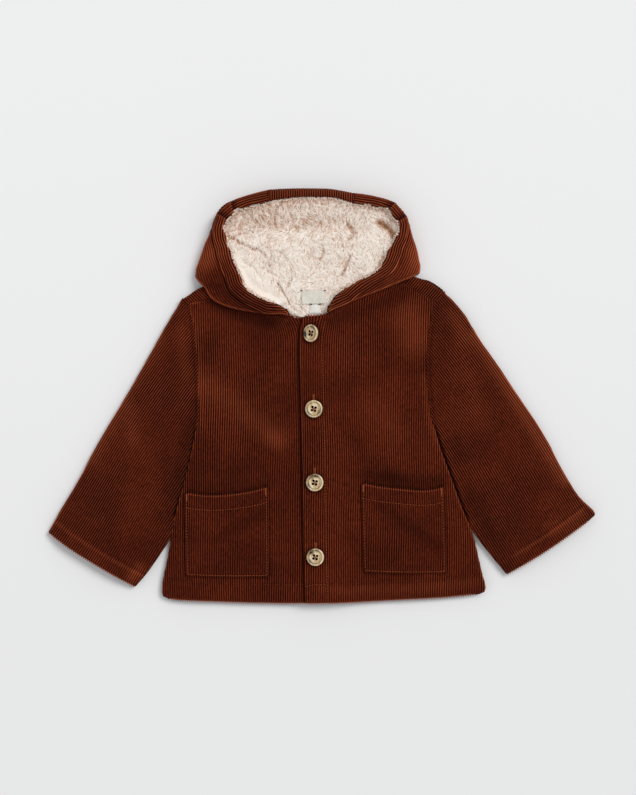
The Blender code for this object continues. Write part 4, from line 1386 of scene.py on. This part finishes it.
def make_label(name, node, material, slot, curl, tucked=0.0):
    """A woven rectangle without print that lies on the pile, with a stitch in each upper corner.

    curl is how much its ends lift 10 mm from the middle, and tucked how far its lower edge runs on under the
    cloth in front of it.
    """
    solid = Solid(node)
    heights = HeightMap(solid, blur=2.5)
    ring = solid.loops()[0]
    plan = Plan(ring, SQUARE, 90.0, grow=(tucked, 0, 0, 0))
    cloth = Cloth(rib_depth=0.0)
    middle = ring.mean(axis=0)

    def top(x, y):
        dip = np.clip(ring[:, 1].min() + 1.0 - y, 0, None)
        wave = curl * ((x - middle[0]) / 10) ** 2 + 0.12 * np.sin(x / 1.9 + y / 4)
        return heights.at(x, np.maximum(y, ring[:, 1].min())) + 0.5 + wave - 0.6 * dip

    rows = (0.0, 0.4)
    add_shell(
        cloth, plan, top, 0.7, 0.5, (), rows, rows, row=0.8, rib=0.8, phases=(0.0,), turn=LABEL_TURN
    )
    low, high = ring.min(axis=0), ring.max(axis=0)
    for x, way in ((low[0] + 1.2, -1), (high[0] - 1.2, 1)):
        run = np.array([(x - way * 0.6, high[1] - 0.5), (x, high[1] - 0.1), (x + way * 1.6, high[1] + 0.5)])
        LABEL_STITCHES.add(np.column_stack([run, top(*run.T) + (0.3, 0.9, 1.1)]), 0.48)
    cloth.made(name, node, material=material, slot=slot)


# ---- Threads and buttons ---------------------------------------------------------------------------------


def ringed(number):
    """Faces from ring to ring of numbered points, and one over each end."""
    after = np.roll(number, -1, axis=1)
    quads = np.stack([number[:-1], after[:-1], after[1:], number[1:]], axis=2).reshape(-1, 4)
    return quads.tolist() + [number[0][::-1].tolist(), number[-1].tolist()]


class Tubes:
    """Round threads gathered into one mesh."""

    def __init__(self):
        self.points, self.faces, self.count = [], [], 0

    def add(self, line, radii, sides=6):
        """One thread along this line, with a radius for all of it or one for each point."""
        line = np.asarray(line, float)
        radii = np.broadcast_to(np.asarray(radii, float), len(line))
        ahead = np.gradient(line, axis=0)
        ahead /= np.linalg.norm(ahead, axis=1)[:, None]
        across = np.cross(ahead, (0.03, 0.02, 1.0))
        across /= np.linalg.norm(across, axis=1)[:, None]
        up = np.cross(across, ahead)
        angle = np.arange(sides) * math.tau / sides
        cos, sin = np.cos(angle)[None, :, None], np.sin(angle)[None, :, None]
        around = cos * across[:, None] + sin * up[:, None]
        self.points.append((line[:, None] + radii[:, None, None] * around).reshape(-1, 3))
        number = self.count + np.arange(len(line) * sides).reshape(len(line), sides)
        self.faces += ringed(number)
        self.count += len(line) * sides

    def made(self, name, material, slot="corduroy"):
        mesh = mesh_of(name, np.concatenate(self.points), self.faces)
        mesh.shade_smooth()
        mesh.materials.append(material)
        return placed(name, mesh)


STITCHES = Tubes()
HEM_STITCHES = Tubes()  # sunk in the ribs, with painted shade: a darker copy of the thread
TACKS = Tubes()  # the buttons' threads
LABEL_STITCHES = Tubes()
STITCH = 3.1  # from one stitch to the next
STITCH_LENGTH = 2.2
THREAD = 0.27  # radius
TACK_STEP = 0.5  # from one thread of a bar to the next
UNDER_SIDE = 3.0  # what lies lower than this isn't the top of a piece


def surface_of(piece):
    """A function that gives the height of the piece's top at a point, in millimetres, or None beside it."""
    faces = [tuple(face.vertices) for face in piece.data.polygons]
    tree = BVHTree.FromPolygons(points_of(piece.data).tolist(), faces)

    def height(x, y):
        place = tree.ray_cast(Vector((x, y, 500.0)), Vector((0, 0, -1)))[0]
        return None if place is None or place.z < UNDER_SIDE else place.z

    return height


def sew(piece, line, sunk=0.0, threads=STITCHES):
    """A row of stitches along a line in plan, sunk this deep in the piece."""
    surface = surface_of(piece)
    places = along_curve(line, STITCH)
    t = np.linspace(-1, 1, 5)
    for here, after in zip(places[:-1], places[1:]):
        middle = (here + after) / 2
        way = (after - here) / np.linalg.norm(after - here)
        run = middle + way * (t * STITCH_LENGTH / 2)[:, None]
        heights = [surface(x, y) for x, y in run]
        if None in heights:
            continue
        z = 0.5 * (max(heights) + float(np.mean(heights))) + 0.1 - sunk - 0.45 * t**4
        threads.add(np.column_stack([run, z]), THREAD * np.array([0.5, 1.0, 1.1, 1.0, 0.5]))


def bar_tack(surface, x, y, length, width):
    """Threads laid side by side across a short bar that runs down from here."""
    for i, down in enumerate(np.arange(0.0, length, TACK_STEP)):
        lean = 0.12 if i % 2 else -0.12
        t = np.linspace(-1, 1, 5)
        run = np.column_stack([x + t * width / 2, y - down + t * lean])
        heights = [surface(px, py) for px, py in run]
        if None in heights:
            continue
        z = max(heights) + 0.25 - 0.5 * np.abs(t) ** 3
        STITCHES.add(np.column_stack([run, z]), THREAD)


BUTTON_PROFILE = (  # radius and height of its rings, from the underside round the rim to the middle
    (6.6, 0.0), (7.8, 0.35), (8.8, 1.05), (9.25, 1.8), (9.35, 2.4), (9.2, 3.0), (8.85, 3.42), (8.35, 3.6),
    (7.85, 3.5), (7.5, 3.2), (7.3, 2.85), (7.15, 2.5), (6.95, 2.42), (6.75, 2.55), (6.5, 2.68), (5.6, 2.45),
    (4.7, 2.32), (4.45, 2.2), (4.2, 2.26), (3.0, 2.16), (1.5, 2.1),
)
BUTTON_SCALE = 0.975  # of the CAD button's width: its rim is rounded off
BUTTON_SIDES = 72
BUTTON_MIDDLE = 1.8  # half its height
HOLE_RADIUS = 1.45
HOLE_OFFSET = 2.3  # from the button's middle
HOLE_TURN = 35.0  # the way of the first hole from the middle, in degrees
HOLE_PLACES = [
    (HOLE_OFFSET * math.cos(angle), HOLE_OFFSET * math.sin(angle))
    for angle in [math.radians(HOLE_TURN + 90 * k) for k in range(4)]
]
GROOVE = (6.85, 0.45, 0.55)  # radius, half-width and darkness of the painted shade in the groove inside the rim
BUTTONHOLE = (14.8, -5.5)  # its ends over the button's middle
BUTTONS = {  # tilt about Y, and the horn's dark clouds: the way from the middle, how wide, how dark
    "button_1": (-35.0, ((60, 24, 1.3), (182, 28, 1.2))),
    "button_2": (0.0, ((-32, 30, 0.8), (215, 34, 0.45))),
    "button_3": (0.0, ((112, 26, 1.3), (72, 24, 0.5), (210, 26, 0.6))),
    "button_4": (0.0, ((124, 28, 1.3), (80, 20, 0.4), (220, 28, 0.7))),
}


def make_button(node, tilt, clouds, materials):
    """A turned button in place of the CAD one, with four drilled holes and its crossed threads.

    The materials are the horn's and the painted shade inside the holes.
    """
    points = []
    angles = np.arange(BUTTON_SIDES) * math.tau / BUTTON_SIDES
    for r, z in BUTTON_PROFILE:
        points += [(BUTTON_SCALE * r * math.cos(a), BUTTON_SCALE * r * math.sin(a), z) for a in angles]
    faces = ringed(np.arange(len(points)).reshape(-1, BUTTON_SIDES))
    name = "horn_" + node
    piece = placed(name, mesh_of(name, points, faces), [node])
    drill(piece)
    mesh = piece.data
    x, y, _ = points_of(mesh).T
    radius = np.hypot(x, y)
    angle = np.degrees(np.arctan2(y, x))
    off = [((angle - way + 180) % 360 - 180) / wide for way, wide, _ in clouds]
    cloud = sum(dark * np.exp(-(o**2)) for o, (_, _, dark) in zip(off, clouds))
    cloud = cloud * np.clip((radius - 3.6) / 3.0, 0, 1) * (1 - 0.5 * np.clip((radius - 7.8) / 1.0, 0, 1))
    groove, half_width, dark = GROOVE
    shade = np.clip(cloud + dark * np.exp(-(((radius - groove) / half_width) ** 2)), 0, 1)
    attach(mesh, "weave", "FLOAT_VECTOR", np.column_stack([x, y, shade]))
    for material in materials:
        mesh.materials.append(material)
    # painted shade: the faces inside the holes take the near-black material
    in_hole = np.min([np.hypot(x - px, y - py) for px, py in HOLE_PLACES], axis=0) < HOLE_RADIUS + 0.05
    for face in mesh.polygons:
        face.material_index = int(in_hole[list(face.vertices)].all())
    mesh.shade_smooth()
    mesh.set_sharp_from_angle(angle=math.radians(38))
    low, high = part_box(node)
    middle = (Vector(low) + Vector(high)) / 2
    turn = Matrix.Rotation(math.radians(tilt), 4, "Y")
    place = Matrix.Translation(middle) @ turn @ Matrix.Translation((0, 0, -BUTTON_MIDDLE * MM))
    mesh.transform(place)
    mesh.update()
    t = np.linspace(-1, 1, 9)
    for order, way in enumerate(np.array(HOLE_PLACES[:2]) / HOLE_OFFSET):
        for aside in (-0.22, 0.22):
            run = way * (t * (HOLE_OFFSET - 0.7))[:, None] + np.array([-way[1], way[0]]) * aside
            z = 2.3 + (0.05 if order else 0.35) * (1 - t**2) - 1.4 * np.abs(t) ** 7
            line = [place @ Vector(spot) / MM for spot in np.column_stack([run, z]) * MM]
            TACKS.add(line, 0.19)


def drill(piece):
    """Cuts the four holes, from over the button down to near its underside."""
    cutters = []
    for x, y in HOLE_PLACES:
        bpy.ops.mesh.primitive_cylinder_add(
            vertices=20, radius=HOLE_RADIUS * MM, depth=12 * MM, location=(x * MM, y * MM, 6.5 * MM)
        )
        cutters.append(bpy.context.object)
    for cutter in cutters:
        hole = piece.modifiers.new("hole", "BOOLEAN")
        hole.operation = "DIFFERENCE"
        hole.solver = "EXACT"
        hole.object = cutter
    bpy.context.view_layer.update()
    cut = bpy.data.meshes.new_from_object(piece.evaluated_get(bpy.context.evaluated_depsgraph_get()))
    piece.modifiers.clear()
    piece.data = cut
    for cutter in cutters:
        bpy.data.objects.remove(cutter)


def buttonhole(surface, node):
    """Two rows of close stitches on the two sides of the slit that the button came through, and a bar."""
    low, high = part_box(node)
    x, y = (low[0] + high[0]) / 2 / MM, (low[1] + high[1]) / 2 / MM
    first, last = BUTTONHOLE
    bar_tack(surface, x, y + first, 0.8, 1.7)
    for side in (-1, 1):
        bar_tack(surface, x + side * 0.65, y + first - 0.6, first - last - 1.2, 0.55)


# ---- Stage -----------------------------------------------------------------------------------------------


def add_camera():
    """Straight down, from far enough for little perspective."""
    lens = bpy.data.cameras.new("camera")
    lens.lens = 95.0
    lens.sensor_width = 36.0
    camera = bpy.data.objects.new("camera", lens)
    camera.location = (-0.0026, -0.0021, 2.209)
    bpy.context.scene.collection.objects.link(camera)
    bpy.context.scene.camera = camera


def add_floor():
    """Pale paper, with a painted fall-off of light: a little darker towards the hem."""
    bpy.ops.mesh.primitive_plane_add(size=60.0, location=(0, 0, -0.0004))
    floor = bpy.context.object
    floor.name = "floor"
    n = Nodes("floor_paper")
    _, y, _ = n.separate(n.place())
    painted_falloff = n.ranged(y, -0.4, 0.4, 0.805, 0.86)
    n.set(Base_Color=n.combine(painted_falloff, painted_falloff, painted_falloff), Roughness=0.95, Specular_IOR_Level=0.1)
    floor.data.materials.append(n.material)


def add_light():
    """A pale sky and one soft sun from the upper right."""
    scene = bpy.context.scene
    scene.view_settings.view_transform = "Standard"
    scene.world = bpy.data.worlds.new("studio")
    scene.world.use_nodes = True
    background = scene.world.node_tree.nodes["Background"]
    background.inputs["Color"].default_value = (0.985, 0.99, 1.0, 1.0)
    background.inputs["Strength"].default_value = 0.62
    key = bpy.data.lights.new("key", "SUN")
    key.energy = 1.55
    key.angle = math.radians(28)
    lamp = bpy.data.objects.new("key", key)
    lamp.rotation_euler = Vector((0.62, 0.5, 1.0)).to_track_quat("Z", "Y").to_euler()
    scene.collection.objects.link(lamp)


def above(limit, value, ease=25.0):
    """A value for a side that only counts over this height in plan."""
    return lambda x, y: value * np.clip((y - limit) / ease, 0, 1)


CORDUROY = corduroy()
PILE = pile()
add_camera()
add_floor()
add_light()

COAT_TOP = HeightMap(Solid("back_panel", "front_left", "front_right"), blur=3.0)
make_back()
PLACKET_EDGE = Plan(Solid("front_right").loops()[0], FRONT_RIGHT_SPOTS, 90.0)
make_front(
    "cloth_front_left", "front_left", "pocket_left", ((0.05, 0), (1, 0), (1, 0.95), (0.16, 1)),
    thickness=(4.5, 2.0, 3.0, 3.6), roll=(3.0, 1.5, 2.0, 3.0),
    grow=(
        0.25, 0, lambda x, y: 0.8 - 3.0 * np.exp(-(((x + 27) / 6) ** 2)),
        lambda x, y: np.interp(y, (-215, -190, -150), (-1.2, -0.5, 0.6)),
    ),
    bend=lambda a, b: pulled(a, b, -36, 54, 22, 30, 10.0),
    sharp=[((0, 0), 12)],
    # creases and ridges, with painted shadow along the placket and under the hood's flap, and patches of
    # painted light and shade
    marks=[
        Mark(PLACKET_EDGE.inset("left", -0.6), 1.9, -0.8, 0.6),
        Mark([(-125, 106), (-100, 92), (-74, 82), (-52, 77)], 8.0, -1.4, 0.55),
        Mark([(-60, 80), (-44, 76), (-30, 73)], 6.0, -0.3, 0.1),
        Mark([(-69, 60), (-61, 22)], 13.0, -0.6, 0.16),
        Mark([(-121, 11), (-84, -15), (-48, -44)], 13.0, 1.1, -0.16),
        Mark([(-52, -44), (-44, -50)], 8.0, 0.6, -0.12),
        Mark([(-132, -76), (-95, -80), (-58, -74)], 11.0, -0.9, 0.22),
        Mark([(-52, -180), (-36, -184)], 12.0, -0.6, 0.22),
        Mark([(-134, 80), (-128, 30), (-126, -30)], 5.0, 0.5, -0.12),
        Mark([(-155, -120), (-160, -190)], 9.0, -0.3, 0.12),
    ],
)
make_front(
    "cloth_front_right", "front_right", "pocket_right", FRONT_RIGHT_SPOTS,
    thickness=(4.5, 3.6, 2.5, 3.6), roll=(3.0, 3.0, 2.0, 2.0),
    grow=(lambda x, y: np.interp(x, (-20, 60, 150), (0.1, 0.6, 1.1)), 0.6, 1.6, 0), placket=True,
    bend=lambda a, b: pulled(a, b, 6, 50, 14, 32, -5.0) + pulled(a, b, 66, 70, 26, 45, -5.0),
    sharp=[((1, 0.045), 12), ((0.02, 0.9), 5)],
    # creases and ridges, with painted shadow under the hood's flap and above the pocket, and patches of
    # painted light and shade
    marks=[
        Mark([(10, 74), (45, 90), (74, 102), (95, 118)], 7.0, -0.9, 0.28),
        Mark([(20, -26), (47, -62), (73, -84)], 8.0, -1.2, 0.22),
        Mark([(52, -10), (80, -40)], 13.0, 0.9, -0.07),
        Mark([(94, 82), (100, 60)], 20.0, 0.8, -0.2),
        Mark([(52, -83), (90, -88), (125, -90)], 7.0, -0.8, 0.26),
        Mark([(108, 20), (112, -10), (120, -48)], 4.0, 0.4, -0.12),
        Mark([(0, -202), (60, -204), (120, -201), (160, -196)], 6.0, 0.3, -0.12),
        Mark([(20, -178), (30, -190)], 8.0, -0.5, 0.16),
        Mark([(26, -120), (30, -150)], 6.0, -0.5, 0.1),
    ],
)
make_shoulder(
    "cloth_shoulder_left", -1, ((0.19, 0), (1, 0.2), (1, 1), (0, 0.17)), 135.0, (1.0, 2, 0, 1.4),
    # painted shade near the hood
    [Mark([(-104, 124), (-112, 100)], 6.0, 0, 0.25)],
)
make_shoulder(
    "cloth_shoulder_right", 1, ((0, 0.8), (0.81, 0), (1, 0.53), (0, 0.86)), 50.0,
    (
        1.0, lambda x, y: np.interp(x, (124, 133), (1.4, -2.4)),
        lambda x, y: np.interp(x, (92, 98, 106, 115, 126, 134), (2.8, 2.8, 0.0, -1.9, -2.4, -2.8)), 7,
    ),
    # painted shade near the hood
    [Mark([(88, 116), (78, 110)], 5.0, 0, 0.2)],
)
make_sleeve(
    "cloth_sleeve_left", "sleeve_left", ((0, 0.19), (0.58, 0), (0.98, 0.55), (0.894, 1)), 58.0, -0.12,
    thickness=(5.0, 5.0, 3.0, 6.0), roll=(3.0, 3.5, 2.0, 4.0), grow=(0, above(-125, 1.0), 2.6, 0),
    # creases and ridges, with painted light along the outer edge and painted shade by the armpit
    marks=[
        Mark([(-170, 60), (-205, -4), (-242, -68)], 8.0, 0.2, -0.16),
        Mark([(-133, -8), (-143, -66), (-158, -128)], 9.0, -0.8, 0.36),
        Mark([(-200, -15), (-196, -46)], 9.0, 0.8, -0.12),
        Mark([(-164, -10), (-166, -52)], 12.0, -0.9, 0.14),
        Mark([(-262, -131), (-216, -162)], 7.0, -0.3, 0.14),
        Mark([(-197, -190), (-190, -182)], 7.0, 0.2, -0.22),
        Mark([(-147, 70), (-141, 20)], 6.0, 0.5, -0.1),
    ],
)
make_sleeve(
    "cloth_sleeve_right", "sleeve_right", ((0.47, 0), (0.96, 0.19), (0.09, 1), (0.03, 0.53)), 122.0, 0.12,
    thickness=(5.0, lambda x, y: np.interp(x, (248, 266), (6.0, 9.0)), 3.0, 5.0), roll=(3.0, 4.0, 2.0, 3.5),
    grow=(0, above(30, -1.7), 2.6, above(-140, 1.0)),
    # creases and ridges, with painted light along the outer edge and painted shade by the armpit
    marks=[
        Mark([(163, 63), (205, -5), (256, -88)], 7.0, 0.2, -0.28),
        Mark([(141, -50), (146, -66)], 10.0, -1.0, 0.3),
        Mark([(157, -99), (175, -140), (194, -178)], 11.0, -0.5, 0.3),
        Mark([(273, -124), (241, -141)], 7.0, 0.2, -0.14),
        Mark([(140, 82), (150, 60)], 9.0, 0.4, -0.14),
        Mark([(150, 20), (172, -30)], 11.0, 0.7, -0.06),
    ],
    gap_top=-32.0, sharp=[((0.99, 0.21), 9)],
)
make_pocket(
    "cloth_pocket_left", "pocket_left",
    # a soft fold, with painted shade in its trough and painted light below it
    [
        Mark([(-62, -124), (-88, -139), (-112, -152)], 5.5, -1.1, 0.24),
        Mark([(-62, -136), (-86, -150)], 5.0, 0.8, -0.06),
        Mark([(-140, -120), (-139, -170)], 5.0, 0, 0.12),
    ],
)
make_pocket(
    "cloth_pocket_right", "pocket_right",
    # a soft fold, with painted shade in its trough and painted light below it
    [
        Mark([(62, -116), (92, -137), (122, -158)], 6.5, -1.1, 0.28),
        Mark([(58, -138), (84, -158)], 6.0, 0.7, -0.05),
    ],
)
make_hood_centre()
make_hood_side(
    "cloth_hood_left", "hood_side_left", "hood_flap_left",
    ((1, 0.86), (1, 1), (0.62, 0), (0.02, 0)), ((0.474, 1), (0, 0.99), (1, 0.05), (0.95, 0)),
    ((0.02, 0.14), (1, 0), (1, 1), (0.27, 0.8)), (-130.9, 124.4),
    [
        ((-94.0, 203.0), (-91.0, 192.6)), ((-108.6, 190.4), (-99.0, 184.6)),
        ((-113.7, 173.8), (-102.6, 175.0)),
    ],
    0.85,
    # painted light on the hood's face, painted shade on its lower part by the flap
    [
        Mark([(-122, 140), (-114, 150)], 12.0, 0.6, -0.3),
        Mark([(-112, 114), (-84, 96), (-58, 83)], 5.0, -0.6, 0.25),
        Mark([(-108, 122), (-86, 103), (-56, 90)], 13.0, 0.0, 0.26),
    ],
)
make_hood_side(
    "cloth_hood_right", "hood_side_right", "hood_flap_right",
    ((0, 0.86), (0, 1), (0.34, 0), (0.96, 0)), ((0.54, 1), (1, 1), (0, 0.04), (0.04, 0)),
    ((0, 0), (0.98, 0.17), (0.72, 0.82), (0, 1)), (103.4, 128.6),
    [((78.2, 202.1), (71.9, 195.0)), ((90.4, 188.0), (81.8, 182.0)), ((94.8, 172.6), (83.4, 170.6))],
    0.3,
    # painted light on the hood's face, painted shade on its lower part by the flap
    [
        Mark([(90, 152), (86, 136)], 7.0, -0.4, 0.06),
        Mark([(97, 150), (100, 136)], 9.0, 0.5, -0.3),
        Mark([(31, 99), (62, 117)], 5.0, -0.4, 0.18),
    ],
)
make_lining()
LABEL_WEAVE = woven("label_weave", colour(237, 232, 219), colour(208, 202, 189))
make_label("label_neck", "neck_label", LABEL_WEAVE, "label", 0.25)
TAB_WEAVE = woven("tab_weave", colour(248, 245, 238), colour(222, 218, 210))
make_label("label_size", "size_tab", TAB_WEAVE, "tab", 0.15, 3.0)
HORN = [horn(), hole_dark()]
for node, (tilt, clouds) in BUTTONS.items():
    make_button(node, tilt, clouds, HORN)
PLACKET_TOP = surface_of(bpy.data.objects["cloth_front_right"])
for node in ("button_2", "button_3", "button_4"):  # the first one's hole is hidden under it
    buttonhole(PLACKET_TOP, node)
STITCHES.made("stitches", thread("thread_brown", colour(178, 94, 52), colour(118, 54, 28)))
# painted shade: a darker copy of the thread, for the stitches sunk in the ribs
HEM_STITCHES.made("stitches_hem", thread("thread_shaded_copy", colour(122, 58, 32), colour(78, 30, 14)))
TACKS.made("thread_tacks", thread("thread_orange", colour(172, 82, 40), colour(104, 40, 18)))
LABEL_STITCHES.made("label_stitches", thread("thread_dark", colour(70, 52, 42), colour(36, 26, 22)), "label")
